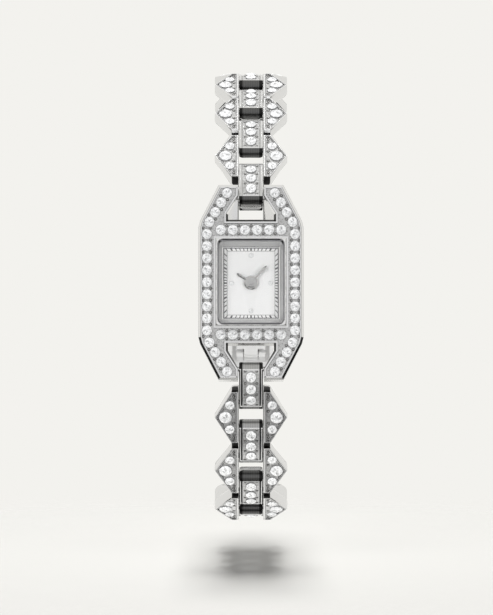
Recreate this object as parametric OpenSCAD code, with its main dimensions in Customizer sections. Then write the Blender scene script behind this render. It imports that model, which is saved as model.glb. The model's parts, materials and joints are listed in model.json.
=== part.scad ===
// A jewelled bracelet watch. The case is long and rectangular, with a band of
// round stones round the dial and out along its lugs. The bracelet alternates
// narrow centre links with pairs of three-cornered wing plates, all pinned like
// a roller chain, and a folding clasp closes it behind.
// The dial faces -Y, twelve o'clock is up, and the origin is in the middle of
// the case back, on the face that lies on the wrist.

/* [Case] */
// Width across the straight sides of the case
case_w = 15; // [14.8:0.1:16]
// Length from lug tip to lug tip
case_len = 28; // [27.6:0.1:29]
// Height of the stone band above the wrist face
case_t = 4.9; // [4.8:0.1:5.6]
// Width across the shoulders, where the sides break towards the lugs
shoulder_w = 14.5; // [14.1:0.1:14.7]
// Length between the shoulders
shoulder_len = 17.7; // [17.4:0.1:18.2]
// Length of the straight sides
straight_len = 15.8; // [15:0.1:16.2]
// Width across the two lug tips
lug_tip_w = 9.2; // [8.9:0.1:9.8]
// Width of the bevel round the outside of the case
case_bevel = 0.3; // [0.1:0.05:0.35]
// Width of the plain rim outside the stones
rim_w = 0.5; // [0.35:0.05:0.55]
// Depth to which the stone field lies below the rim
field_depth = 0.25; // [0.1:0.05:0.35]
// Thickness of the case back
back_t = 1.1; // [1.05:0.05:1.2]
// Width of the opening between each pair of lugs
window_w = 7.1; // [6.6:0.1:7.3]
// Distance from the centre to the near edge of that opening
window_at = 8.75; // [8.65:0.05:8.9]
// Height of the straight sides of that opening
window_side = 1.1; // [0.9:0.1:1.3]
// Height of its slanted sides
window_slant = 2.6; // [2.2:0.1:2.8]

/* [Dial and glass] */
// Width of the bezel
bezel_w = 10.1; // [9.9:0.1:10.1]
// Length of the bezel
bezel_len = 12.6; // [12.4:0.1:12.7]
// Height to which the bezel stands above the stone band
bezel_rise = 0.8; // [0.6:0.1:1.1]
// Width of the bezel's wall
bezel_wall = 0.28; // [0.22:0.02:0.34]
// Width of the dial that shows inside the sloped ring
dial_view_w = 8.1; // [7.6:0.1:8.2]
// Length of the dial that shows inside the sloped ring
dial_view_len = 10.2; // [9.8:0.1:10.4]
// Thickness of the glass
glass_t = 0.9; // [0.7:0.05:0.95]
// Bevel round the top of the glass
glass_bevel = 0.22; // [0.1:0.02:0.3]
// Height of the dial's face above the wrist face
dial_top = 3.5; // [3.4:0.05:3.6]
// Thickness of the dial
dial_t = 0.4; // [0.3:0.05:0.45]
// Diameter of the four dial stones
marker_d = 0.68; // [0.5:0.02:0.8]
// Length of the hour hand from its axis
hour_len = 2.4; // [2:0.1:2.5]
// Length of the minute hand from its axis
minute_len = 3.3; // [2.8:0.1:3.4]
// Greatest width of a hand
hand_w = 0.4; // [0.2:0.02:0.5]

/* [Movement] */
// Width of the movement
move_w = 9.5; // [9.3:0.1:9.6]
// Length of the movement
move_len = 12.1; // [11.9:0.1:12.2]
// Diameter of the battery
cell_d = 4.8; // [4.4:0.1:5]
// Thickness of the battery
cell_t = 1.25; // [1:0.05:1.3]
// Diameter of the setting crown in the case back
crown_d = 3.2; // [2.8:0.1:3.4]
// Thickness of the setting crown
crown_t = 0.62; // [0.5:0.02:0.66]
// Diameter of the setting stem
stem_d = 0.6; // [0.5:0.05:0.7]

/* [Stones] */
// Diameter of the round stones on the case and the centre links
stone_d = 1.5; // [1.3:0.05:1.55]
// Pitch of the stones along the case
stone_pitch = 1.73; // [1.7:0.01:1.76]
// Pitch of the stones along a centre link
link_pitch = 1.8; // [1.68:0.02:1.82]
// Diameter of the large stone on a wing plate
wing_stone_d = 1.95; // [1.7:0.05:2]
// Diameter of the two small stones on a wing plate
wing_small_d = 1.45; // [1.3:0.05:1.5]

/* [Centre links] */
// Width of a centre link
link_w = 3.3; // [3:0.1:3.5]
// Distance between the two pins of a centre link
link_pins = 5.1; // [5:0.05:5.3]
// Radius of the round ends of a centre link
link_end_r = 1; // [0.9:0.05:1.1]
// Radius of the arch along the face of a centre link
link_arch = 9; // [8:0.5:14]
// Length of the face past each pin
face_over = 0.33; // [0.2:0.03:0.5]
// Radius of the link's corners, seen from its face
link_corner = 0.45; // [0.3:0.05:0.6]
// Width of the plain rail each side of the stones
link_rail = 0.42; // [0.3:0.04:0.5]
// Depth of the stone channel
link_sink = 0.16; // [0.1:0.02:0.2]

/* [Wing plates] */
// Distance between the two pins of a wing pair
wing_pins = 3.9; // [3.8:0.05:4]
// Length of a wing plate
wing_len = 8.3; // [8:0.05:8.35]
// Distance from the centre line to a wing's point
wing_reach = 5.2; // [5.1:0.05:5.4]
// Width of a wing plate at its two ends
wing_end_w = 1; // [0.95:0.05:1.2]
// Thickness of a wing plate
wing_t = 2.2; // [2:0.05:2.3]
// Radius of the wing's inner corners, on the wrist side
wing_corner = 0.85; // [0.5:0.05:1]
// Radius of the rounding under a wing's point
wing_under = 1.2; // [0.6:0.1:1.3]
// Width of the plain rail along a wing's inner edge
wing_rail = 0.36; // [0.3:0.02:0.4]
// Width of the thin rim along a wing's slanted edges
wing_rim = 0.16; // [0.1:0.02:0.2]
// Depth of the stone field of a wing
wing_sink = 0.15; // [0.1:0.05:0.2]

/* [Pins] */
// Diameter of the bracelet's pins
pin_d = 0.7; // [0.6:0.05:0.8]
// Depth to which a pin enters each wing plate
pin_depth = 0.95; // [0.7:0.05:0.95]
// Distance of each lug pin from the centre
lug_pin_at = 12.3; // [12.1:0.1:12.5]
// Height of the lug pins above the wrist face
lug_pin_h = 3; // [2.9:0.05:3.1]
// Depth to which a lug pin enters each lug
lug_pin_depth = 2.2; // [1.5:0.1:2.6]

/* [Clasp] */
// Width of the clasp's cover
cover_w = 6.4; // [6:0.1:7]
// Thickness of the cover's plate
cover_t = 0.8; // [0.6:0.05:0.9]
// Width of the two inner blades
blade_w = 4.2; // [3.8:0.1:4.4]
// Thickness of the inner blades
blade_t = 0.8; // [0.65:0.05:0.85]
// Radius of the knuckles where the blades hinge
knuckle_r = 0.75; // [0.7:0.05:0.8]
// Diameter of the clasp's hinge pins
clasp_pin_d = 0.6; // [0.5:0.05:0.7]
// Distance from the clasp's upper end to the cover's hinge
cover_hinge_at = 4.8; // [4.6:0.1:5.4]
// Distance from the clasp's lower end to the blades' hinge
blade_hinge_at = 6.5; // [6.3:0.1:7]
// Diameter of the snap stud's stem
stud_d = 0.8; // [0.6:0.05:0.9]

/* [Hidden] */
SIDES = ["top", "bottom"];
// Pairs of a centre link and its wings on each side of the case
PAIRS = 7;
$fn = 48;

// Tilt of each link away from the dial's plane, in order from the lug: a
// centre link, its wings, the next centre link and so on
TOP_TILTS = [34, 37, 42, 50, 58, 60, 78, 90, 108, 125, 142, 145, 147, 163];
BOTTOM_TILTS = [29, 32, 41, 44, 61, 73, 101, 103, 105, 107, 122, 139, 151, 168];

// Clearances: round a link between its neighbours, round a turning pin, round
// a seated pin or stone, between shells, and between plates that fold flat
side_gap = 0.12;
turn_gap = 0.04;
seat_gap = 0.02;
shell_gap = 0.05;
fold_gap = 0.15;
// Length by which a cut runs past the face that it opens
over = 1;

// Gap each side of the first link between the lugs
lug_gap = 0.21;
channel_w = link_w + 2 * lug_gap;
wing_in = link_w / 2 + side_gap;
// Thickness of a thin slice that gives a hull its outline
slice = 0.01;

// Proportions of a round brilliant stone, as shares of its diameter
TABLE = 0.57;
CROWN = 0.16;
GIRDLE = 0.03;
PAVILION = 0.43;
CULET = 0.04;
// Height of a stone's girdle above the metal that it is set in
stone_sit = 0.06;

STEEL = "gainsboro";
BRIGHT = "whitesmoke";
STONE = "lightcyan";

// Turns a shape drawn as seen from the front, with its height above the wrist
// face as z, so that it faces -Y
module facing() rotate([90, 0, 0]) children();

// The points of a polygon with each edge moved inwards by a distance
function normal(a, b) = let (d = b - a) [d.y, -d.x] / norm(d);
function inset(pts, by) = let (n = len(pts)) [for (k = [0:n - 1]) let (
    before = normal(pts[(k + n - 1) % n], pts[k]),
    after = normal(pts[k], pts[(k + 1) % n]))
    pts[k] - (before + after) / (1 + before * after) * by];

// A convex outline given by the points of its upper right quarter
function all_round(q) = let (n = len(q)) concat(
    [for (k = [0:n - 1]) q[k]],
    [for (k = [n - 1:-1:0]) [-q[k].x, q[k].y]],
    [for (k = [0:n - 1]) [-q[k].x, -q[k].y]],
    [for (k = [n - 1:-1:0]) [q[k].x, -q[k].y]]);

module plate(pts, from, to) translate([0, 0, from]) linear_extrude(to - from)
    polygon(pts);
module block(w, l, from, to) translate([-w / 2, -l / 2, from])
    cube([w, l, to - from]);
module round_plate(w, l, r, from, to) translate([0, 0, from])
    linear_extrude(to - from) {
        square([w - 2 * r, l], center = true);
        square([w, l - 2 * r], center = true);
        for (x = [-1, 1], y = [-1, 1])
            translate([x * (w / 2 - r), y * (l / 2 - r)]) circle(r);
    }
module disc(r, from, to) translate([0, 0, from])
    cylinder(r = r, h = to - from);

// A rectangular block whose four sides slope from one size to another
module sloped(w0, l0, w1, l1, from, to) intersection() {
    rotate([90, 0, 0]) linear_extrude(max(l0, l1) + over, center = true)
        polygon([[-w0 / 2, from], [w0 / 2, from], [w1 / 2, to], [-w1 / 2, to]]);
    rotate([90, 0, 90]) linear_extrude(max(w0, w1) + over, center = true)
        polygon([[-l0 / 2, from], [l0 / 2, from], [l1 / 2, to], [-l1 / 2, to]]);
}

// A round brilliant with its girdle at z = 0, and the seat cut for it
module stone(d) {
    translate([0, 0, -PAVILION * d])
        cylinder(r1 = CULET * d, r2 = d / 2, h = PAVILION * d);
    cylinder(d = d, h = GIRDLE * d);
    translate([0, 0, GIRDLE * d])
        cylinder(r1 = d / 2, r2 = TABLE * d / 2, h = CROWN * d);
}
module seat(d) {
    translate([0, 0, -PAVILION * d - seat_gap])
        cylinder(r1 = CULET * d + seat_gap, r2 = d / 2 + seat_gap,
            h = PAVILION * d);
    translate([0, 0, -2 * seat_gap])
        cylinder(r = d / 2 + seat_gap, h = over);
}

// The case. Its outline is given by the upper right quarter, and the opening
// between a pair of lugs runs out between their tips.

case_pts = all_round([[case_w / 2, straight_len / 2],
    [shoulder_w / 2, shoulder_len / 2], [lug_tip_w / 2, case_len / 2]]);
function window(out) = let (
    top = case_len / 2 + out,
    slant_at = window_at + window_side,
    half = [[window_w / 2, window_at], [window_w / 2, slant_at],
        [channel_w / 2, slant_at + window_slant], [channel_w / 2, top]])
    concat(half, [for (k = [3:-1:0]) [-half[k].x, half[k].y]]);
// Wall of the movement holder, in the cavity under the dial
holder_wall = 0.3;
cavity_w = move_w + 2 * (holder_wall + shell_gap);
cavity_len = move_len + 2 * (holder_wall + shell_gap);
cavity_top = dial_top + shell_gap;
rabbet = bezel_w + 2 * seat_gap;
rabbet_len = bezel_len + 2 * seat_gap;
field_h = case_t - field_depth;
// Where the stones sit: a column down each side that bites into the rim, a row
// above and below the dial, and a line out along each lug
stone_bite = 0.05;
column_x = case_w / 2 - rim_w - stone_d / 2 + stone_bite;
row_y = (bezel_len / 2 + window_at) / 2;
column_n = 9;
row_n = 6;
lug_n = 4;
// How far the first stone of a line lies inside the shoulder, and the last
// inside the lug's tip
first_in = [1.29, 0.19];
last_in = [1.19, 1.15];
lug_from = [shoulder_w, shoulder_len] / 2 - first_in;
lug_to = [lug_tip_w, case_len] / 2 - last_in;
case_stone_at = concat(
    [for (s = [-1, 1], k = [0:column_n - 1])
        [s * column_x, (k - (column_n - 1) / 2) * stone_pitch]],
    [for (s = [-1, 1], k = [0:row_n - 1])
        [(k - (row_n - 1) / 2) * stone_pitch, s * row_y]],
    [for (sx = [-1, 1], sy = [-1, 1], k = [0:lug_n - 1])
        let (p = lug_from + (lug_to - lug_from) * k / (lug_n - 1))
        [sx * p.x, sy * p.y]]);

module case_body() hull() {
    plate(inset(case_pts, 2 * case_bevel), back_t, back_t + slice);
    plate(case_pts, back_t + 2 * case_bevel, case_t - case_bevel);
    plate(inset(case_pts, case_bevel), case_t - slice, case_t);
}

// The undersides of the lugs rise towards their tips
relief_from = shoulder_len / 2 + 0.3;
module lug_relief() for (s = [0, 1]) mirror([0, s, 0])
    rotate([90, 0, 90]) linear_extrude(case_w, center = true)
        polygon([[relief_from, 0], [case_len / 2 + over, 0],
            [case_len / 2 + over, lug_pin_h - link_end_r],
            [relief_from, back_t]]);

// Where the case back's screws are, past the corners of the cavity
screw_past = [0.2, 1.2];
screw_at = [cavity_w, cavity_len] / 2 + screw_past;
screw_d = 0.8;
screw_deep = 1.3;

module case_frame() color(STEEL) facing() difference() {
    case_body();
    lug_relief();
    block(cavity_w, cavity_len, back_t - over, cavity_top);
    block(rabbet, rabbet_len, dial_top, case_t + over);
    for (s = [0, 1]) mirror([0, s, 0]) plate(window(over), 0, case_t + over);
    difference() {
        plate(inset(case_pts, rim_w), field_h, case_t + over);
        block(rabbet + rim_w, rabbet_len + rim_w, 0, case_t + over);
        for (s = [0, 1]) mirror([0, s, 0])
            plate(inset(window(over), rim_w), 0, case_t + 2 * over);
    }
    for (p = case_stone_at) translate([p.x, p.y, field_h + stone_sit])
        seat(stone_d);
    for (s = [-1, 1]) translate([0, s * lug_pin_at, lug_pin_h])
        rotate([0, 90, 0]) cylinder(d = pin_d + 2 * seat_gap,
            h = channel_w + 2 * lug_pin_depth + 2 * seat_gap, center = true);
    gasket_ring(seat_gap, shell_gap);
    for (x = [-1, 1], y = [-1, 1]) translate([x * screw_at.x, y * screw_at.y])
        disc(screw_d / 2 + seat_gap, 0, back_t + screw_deep + seat_gap);
}

module case_stones() color(STONE) facing() for (p = case_stone_at)
    translate([p.x, p.y, field_h + stone_sit]) stone(stone_d);

module lug_pins() color(BRIGHT) facing() for (s = [-1, 1])
    translate([0, s * lug_pin_at, lug_pin_h]) rotate([0, 90, 0])
        cylinder(d = pin_d, h = channel_w + 2 * lug_pin_depth, center = true);

// The bezel, the glass and its gasket, and the sloped ring round the dial

bezel_top = case_t + bezel_rise;
// How far the bezel's sides lean in, and the thin top of the sloped ring
bezel_lean = 0.15;
ring_lip = 0.1;
well_w = bezel_w - 2 * bezel_wall;
well_len = bezel_len - 2 * bezel_wall;
gasket_w = 0.12;
glass_w = well_w - 2 * (gasket_w + 2 * seat_gap);
glass_len = well_len - 2 * (gasket_w + 2 * seat_gap);
glass_from = bezel_top - glass_t;

module bezel() color(BRIGHT) facing() difference() {
    union() {
        block(bezel_w, bezel_len, dial_top + seat_gap, case_t);
        sloped(bezel_w, bezel_len, bezel_w - 2 * bezel_lean,
            bezel_len - 2 * bezel_lean, case_t, bezel_top);
    }
    block(well_w, well_len, 0, bezel_top + over);
}

module dial_ring() color(STEEL) facing() difference() {
    block(well_w - 2 * seat_gap, well_len - 2 * seat_gap,
        dial_top + seat_gap, glass_from - seat_gap);
    sloped(dial_view_w, dial_view_len, glass_w - 2 * ring_lip,
        glass_len - 2 * ring_lip, dial_top, glass_from);
}

module crystal() color("azure", 0.4) facing() {
    block(glass_w, glass_len, glass_from, bezel_top - glass_bevel);
    sloped(glass_w, glass_len, glass_w - 2 * glass_bevel,
        glass_len - 2 * glass_bevel, bezel_top - glass_bevel, bezel_top);
}

module crystal_gasket() color("dimgray") facing() difference() {
    block(well_w - 2 * seat_gap, well_len - 2 * seat_gap,
        glass_from, bezel_top - glass_bevel);
    block(glass_w + 2 * seat_gap, glass_len + 2 * seat_gap,
        0, bezel_top + over);
}

// The dial, its four stones and the hands

arbor_r = 0.25;
pipe_r = 0.48;
hour_hub_r = 1;
minute_hub_r = 0.72;
cap_r = 0.36;
cap_rise = 0.1;
// Height of the hour hand above the dial, and of the minute hand above it
hour_at = dial_top + 0.32;
minute_at = hour_at + 0.3;
hand_t = 0.16;
// How far the dial stones lie inside the edge of the dial that shows
marker_in = [1.27, 1.12];
marker_at = [dial_view_w, dial_view_len] / 2 - marker_in;
// Lengths of the pipe and the arbor below the dial
pipe_below = 0.5;
arbor_below = 1;
// Share of a hand's length at which it is widest
WIDEST = 0.75;
HOUR_ANGLE = -303.6;
MINUTE_ANGLE = -42.6;

module dial() color("white") facing() difference() {
    block(cavity_w - 2 * shell_gap, cavity_len - 2 * shell_gap,
        dial_top - dial_t, dial_top);
    disc(pipe_r + turn_gap, 0, dial_top + over);
    for (p = marker_points()) translate([p.x, p.y, dial_top + seat_gap])
        seat(marker_d);
}
function marker_points() = [[0, marker_at.y], [marker_at.x, 0],
    [0, -marker_at.y], [-marker_at.x, 0]];
module dial_markers() color(STONE) facing() for (p = marker_points())
    translate([p.x, p.y, dial_top + seat_gap]) stone(marker_d);

// A slim leaf that starts inside the hub and ends in a point
module hand_blade(len) linear_extrude(hand_t) polygon([[-hand_w / 4, 0],
    [-hand_w / 2, len * WIDEST], [0, len], [hand_w / 2, len * WIDEST],
    [hand_w / 4, 0]]);

module hour_hand() color("silver") facing() difference() {
    union() {
        rotate(HOUR_ANGLE) translate([0, 0, hour_at]) hand_blade(hour_len);
        disc(hour_hub_r, hour_at, hour_at + hand_t);
        disc(pipe_r, dial_top - dial_t - pipe_below, hour_at + hand_t);
    }
    disc(arbor_r + turn_gap, 0, case_t);
}

module minute_hand() color("silver") facing() {
    rotate(MINUTE_ANGLE) translate([0, 0, minute_at]) hand_blade(minute_len);
    disc(minute_hub_r, minute_at, minute_at + hand_t);
    disc(cap_r, minute_at, minute_at + hand_t + cap_rise);
    disc(arbor_r, dial_top - dial_t - arbor_below, minute_at + hand_t);
}

// The movement and what sits in it. The battery is in a pocket in its back,
// above the arbor, and the setting stem enters below the arbor.

move_from = back_t + 0.15;
move_to = dial_top - dial_t - shell_gap;
// How far the battery, the crown and the coil lie inside the movement's edges
cell_in = 0.5;
crown_in = 1.75;
coil_in = 1.3;
cell_at = move_len / 2 - cell_d / 2 - cell_in;
crown_at = -move_len / 2 + crown_in;
coil_at = [-move_w / 2 + coil_in, -0.6];
coil_r = 0.5;
core_r = 0.25;
coil_len = 3.2;
core_len = 4.3;
strap_w = move_w - 1.2;
strap_len = 1.2;
strap_t = 0.1;
// The battery's round contact, proud of its case
contact_d = 3.6;
contact_rise = 0.04;

module movement_holder() color("dimgray") facing() difference() {
    block(cavity_w - 2 * shell_gap, cavity_len - 2 * shell_gap,
        move_from, move_to);
    block(move_w + 2 * seat_gap, move_len + 2 * seat_gap, 0, case_t);
}

module movement() color("darkgoldenrod") facing() difference() {
    block(move_w, move_len, move_from, move_to);
    disc(pipe_r + turn_gap, 0, case_t);
    translate([0, cell_at]) disc(cell_d / 2 + shell_gap, 0,
        move_from + cell_t + shell_gap);
    translate([0, crown_at]) disc(stem_d / 2 + turn_gap, 0, case_t);
    translate([coil_at.x, coil_at.y]) block(2 * (coil_r + shell_gap),
        core_len + 2 * shell_gap, 0, move_from + 2 * coil_r + shell_gap);
    translate([0, cell_at]) block(strap_w + 2 * shell_gap,
        strap_len + 2 * shell_gap, 0, move_from + strap_t + seat_gap);
}

module motor_coil() color("sienna") facing()
    translate([coil_at.x, coil_at.y, move_from + coil_r]) rotate([90, 0, 0]) {
        cylinder(r = coil_r, h = coil_len, center = true);
        cylinder(r = core_r, h = core_len, center = true);
    }

module battery() color("lightgray") facing() translate([0, cell_at]) {
    disc(cell_d / 2, move_from + strap_t + seat_gap + contact_rise,
        move_from + cell_t);
    disc(contact_d / 2, move_from + strap_t + seat_gap, move_from + cell_t / 2);
}

module battery_strap() color("khaki") facing() translate([0, cell_at])
    difference() {
        block(strap_w, strap_len, move_from, move_from + strap_t);
        for (x = [-1, 1]) translate([x * (strap_w - strap_len / 2) / 2, 0])
            disc(strap_len / 5, 0, case_t);
    }

// The case back, with a sunk place for the setting crown

// How far the case back lies inside the case's sides and shoulders
back_in = [1.3, 0.45];
back_w = case_w - 2 * back_in.x;
back_len = shoulder_len - 2 * back_in.y;
back_corner = 1.2;
screw_head_r = 0.65;
screw_head_t = 0.35;
slot_w = 0.16;
slot_deep = 0.15;
gasket_t = 0.35;
// How far the gasket lies outside the cavity, and the width of its groove
gasket_out = 0.25;
groove_w = 0.3;
crown_sunk = 0.06;
crown_slot_w = 0.4;
// How far the stem ends below the movement's dial side
stem_short = 0.4;
crown_slot_deep = 0.25;
socket_deep = 0.32;

// A rectangular ring round the cavity, with its walls moved out by fit
module gasket_ring(fit, deep) difference() {
    block(cavity_w + 2 * (gasket_out + groove_w - seat_gap + fit),
        cavity_len + 2 * (gasket_out + groove_w - seat_gap + fit),
        back_t, back_t + gasket_t + deep);
    block(cavity_w + 2 * (gasket_out + seat_gap - fit),
        cavity_len + 2 * (gasket_out + seat_gap - fit), 0, case_t);
}
module case_back() color(BRIGHT) facing() difference() {
    round_plate(back_w, back_len, back_corner, 0, back_t);
    translate([0, crown_at]) {
        disc(crown_d / 2 + shell_gap, -over, crown_sunk + crown_t + turn_gap);
        disc(stem_d / 2 + turn_gap, -over, back_t + over);
    }
    for (x = [-1, 1], y = [-1, 1]) translate([x * screw_at.x, y * screw_at.y]) {
        disc(screw_head_r + seat_gap, -over, screw_head_t + 2 * seat_gap);
        disc(screw_d / 2 + seat_gap, -over, back_t + over);
    }
}
module case_back_gasket() color("dimgray") facing() gasket_ring(0, 0);
module case_back_screws() color("silver") facing()
    for (x = [-1, 1], y = [-1, 1]) translate([x * screw_at.x, y * screw_at.y])
        difference() {
            union() {
                disc(screw_head_r, seat_gap, screw_head_t + seat_gap);
                disc(screw_d / 2, seat_gap, back_t + screw_deep);
            }
            block(slot_w, 2 * screw_head_r + over, -over, seat_gap + slot_deep);
        }

module crown() color(STEEL) facing() translate([0, crown_at]) difference() {
    disc(crown_d / 2, crown_sunk, crown_sunk + crown_t);
    block(crown_slot_w, crown_d + over, -over, crown_sunk + crown_slot_deep);
    disc(stem_d / 2 + turn_gap, crown_sunk + socket_deep, case_t);
}
module setting_stem() color("silver") facing() translate([0, crown_at])
    disc(stem_d / 2, crown_sunk + socket_deep + turn_gap, move_to - stem_short);

// Where the bracelet's pins are, as [depth, height], counting from the lug.
// Both chains are worked out above the middle, and the lower one is mirrored.

lug_pin = [-lug_pin_h, lug_pin_at];
function step(i) = i % 2 == 0 ? link_pins : wing_pins;
function along(t) = [sin(t), cos(t)];
function chain(tilts) = [for (i = 0, p = lug_pin; i <= len(tilts);
    p = i < len(tilts) ? p + step(i) * along(tilts[i]) : p, i = i + 1) p];
function tilts_of(side) = side == "top" ? TOP_TILTS : BOTTOM_TILTS;
function pins_of(side) = chain(tilts_of(side));

// Puts a link in place: its first pin is at the origin, its second lies along
// y, and z is away from the wrist
module in_chain(side, i) mirror([0, 0, side == "top" ? 0 : 1])
    translate([0, pins_of(side)[i].x, pins_of(side)[i].y])
        rotate([90 - tilts_of(side)[i], 0, 0]) children();

module across(d, w) rotate([0, 90, 0]) cylinder(d = d, h = w, center = true);

// A centre link: two round ends joined under an arched face that carries a
// channel with three stones

// Thin lip that closes the channel at each end of the face
link_lip = 0.12;
// Depth of the arch's centre below the line of the pins
arch_half = link_pins / 2 + face_over;
arch_drop = sqrt(pow(link_arch, 2) - pow(arch_half, 2)) - link_end_r;
arch_top = link_arch - arch_drop;

module link_side() intersection() {
    translate([link_pins / 2, -arch_drop]) circle(link_arch, $fn = 180);
    union() {
        translate([-face_over, 0]) square([link_pins + 2 * face_over, 2 * arch_top]);
        translate([0, -link_end_r]) square([link_pins, 2 * link_end_r]);
        for (y = [0, link_pins]) translate([y, 0]) circle(link_end_r);
    }
}
// Turns a profile drawn as [y, z] into a solid of a given width
module wide(w) rotate([90, 0, 90]) linear_extrude(w, center = true) children();

module on_arch(k) translate([0, link_pins / 2, -arch_drop])
    rotate([-asin(k * link_pitch / link_arch), 0, 0])
        translate([0, 0, link_arch - link_sink + stone_sit]) children();

module centre_link() {
    color(STEEL) difference() {
        intersection() {
            wide(link_w) link_side();
            translate([0, link_pins / 2]) round_plate(link_w,
                link_pins + 2 * link_end_r, link_corner, -over, 2 * arch_top);
        }
        intersection() {
            wide(link_w - 2 * link_rail) translate([link_pins / 2, -arch_drop])
                difference() {
                    circle(link_arch + over, $fn = 180);
                    circle(link_arch - link_sink, $fn = 180);
                }
            translate([0, link_pins / 2]) block(link_w,
                link_pins + 2 * (face_over - link_lip), 0, 2 * arch_top);
        }
        for (k = [-1:1]) on_arch(k) seat(stone_d);
        for (y = [0, link_pins]) translate([0, y, 0])
            across(pin_d + 2 * turn_gap, link_w + over);
    }
    color(STONE) for (k = [-1:1]) on_arch(k) stone(stone_d);
}

// A wing plate, drawn with its pins at y = 0 and y = wing_pins: a long
// three-cornered plate whose inner edge lies along the centre link

wing_from = (wing_pins - wing_len) / 2;
wing_to = wing_from + wing_len;
wing_pts = [[wing_in, wing_from], [wing_in + wing_end_w, wing_from],
    [wing_reach, wing_pins / 2], [wing_in + wing_end_w, wing_to],
    [wing_in, wing_to]];
field_pts = let (p = inset(wing_pts, wing_rim)) [
    [wing_in + wing_rail, p[0].y], p[1], p[2], p[3],
    [wing_in + wing_rail, p[4].y]];
// How far the large stone lies inside the point, how far the small ones lie
// from the inner edge, and their distance along the wing from the large one
large_in = 1.55;
small_in = 1.26;
small_along = 1.93;
wing_stones = concat([[wing_reach - large_in, wing_pins / 2, wing_stone_d]],
    [for (s = [-1, 1])
        [wing_in + small_in, wing_pins / 2 + s * small_along, wing_small_d]]);
wing_field = wing_t / 2 - wing_sink;

module wing_side() difference() {
    translate([wing_from, -wing_t / 2]) square([wing_len, wing_t]);
    for (s = [0, 1]) translate([s == 0 ? wing_from : wing_to, -wing_t / 2])
        mirror([s, 0]) difference() {
            translate([-over, -over])
                square([over + wing_corner, over + wing_corner]);
            translate([wing_corner, wing_corner]) circle(wing_corner);
        }
}

// A wing seen from its end: its point is rounded on the wrist side
module wing_end() {
    translate([wing_in, -wing_t / 2])
        square([wing_reach - wing_in - wing_under, wing_t]);
    translate([wing_in, wing_under - wing_t / 2])
        square([wing_reach - wing_in, wing_t - wing_under]);
    translate([wing_reach - wing_under, wing_under - wing_t / 2])
        circle(wing_under);
}

module wing_plate(pinned) difference() {
    intersection() {
        translate([wing_in + wing_reach / 2, 0]) wide(wing_reach) wing_side();
        translate([0, wing_pins / 2]) rotate([90, 0, 0])
            linear_extrude(wing_len + over, center = true) wing_end();
        plate(wing_pts, -wing_t, wing_t);
    }
    plate(field_pts, wing_field, wing_t);
    for (s = wing_stones) translate([s.x, s.y, wing_field + stone_sit])
        seat(s.z);
    for (y = [0, wing_pins]) translate([0, y, 0])
        across((y == 0 || pinned ? pin_d : tip_d) + 2 * seat_gap,
            2 * (wing_in + pin_depth + seat_gap));
}

// A pair of wings on its two pins. The last lower pair has no second pin: the
// clasp's spring bar goes there.
module wing_pair(pinned) {
    for (s = [0, 1]) mirror([s, 0, 0]) {
        color(STEEL) wing_plate(pinned);
        color(STONE) for (p = wing_stones)
            translate([p.x, p.y, wing_field + stone_sit]) stone(p.z);
    }
    color(BRIGHT) for (y = pinned ? [0, wing_pins] : [0]) translate([0, y, 0])
        across(pin_d, 2 * (wing_in + pin_depth));
}

// The folding clasp. It hangs from the last upper pin and reaches to the last
// lower one, so its length and its direction follow the two chains.

top_end = pins_of("top")[2 * PAIRS];
low_end = let (p = pins_of("bottom")[2 * PAIRS]) [p.x, -p.y];
clasp_len = norm(low_end - top_end);
clasp_turn = atan2(low_end.x - top_end.x, top_end.y - low_end.y);
cover_hinge = [cover_hinge_at, blade_t / 2 + fold_gap / 2];
blade_hinge = [clasp_len - blade_hinge_at, 0];
// How far the wide parts of the clasp stay from the pins at its ends, to
// clear the wings there
wing_clear = (wing_len - wing_pins) / 2 + 0.5;
blade_low = -blade_t - fold_gap / 2;
blade_high = blade_t + fold_gap / 2;
cover_low = blade_high + fold_gap;
cover_high = cover_low + cover_t;
lip_t = 0.5;
lip_low = -0.2;
// Length by which one form enters another that it is joined to
joined = 0.1;
tongue_len = 0.5;
knuckle_w = 2;
stud_at = clasp_len / 2;
tip_d = 0.5;
cover_pin_d = 0.4;
cover_to = clasp_len - wing_clear - 0.6;
// How far the cover reaches past its hinge, short enough for it to swing open
cover_past = 0.5;
cover_from = cover_hinge.x - cover_past;

// Puts the clasp in place, drawn with y down its length from the upper pin
// and z away from the wrist
module in_clasp() translate([0, top_end.x, top_end.y])
    rotate([-90 + clasp_turn, 0, 0]) children();

module clasp_inner_blade() color(STEEL) in_clasp() difference() {
    union() {
        wide(link_w) {
            circle(link_end_r);
            translate([0, blade_low]) square([wing_clear + tongue_len, blade_t]);
        }
        translate([0, (wing_clear + blade_hinge.x) / 2, 0])
            block(blade_w, blade_hinge.x - wing_clear, blade_low,
                blade_low + blade_t);
        translate([0, blade_hinge.x, 0]) across(2 * knuckle_r, knuckle_w);
    }
    across(pin_d + 2 * turn_gap, link_w + over);
    translate([0, blade_hinge.x, 0]) across(clasp_pin_d + 2 * turn_gap, blade_w);
    for (s = [-1, 1])
        translate([s * (knuckle_w + blade_w) / 2, blade_hinge.x, 0])
            block(blade_w, 2 * (knuckle_r + fold_gap), -over - knuckle_r, over);
    translate([0, stud_at, 0]) disc(stud_d / 2 + seat_gap, -over, over);
}

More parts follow.
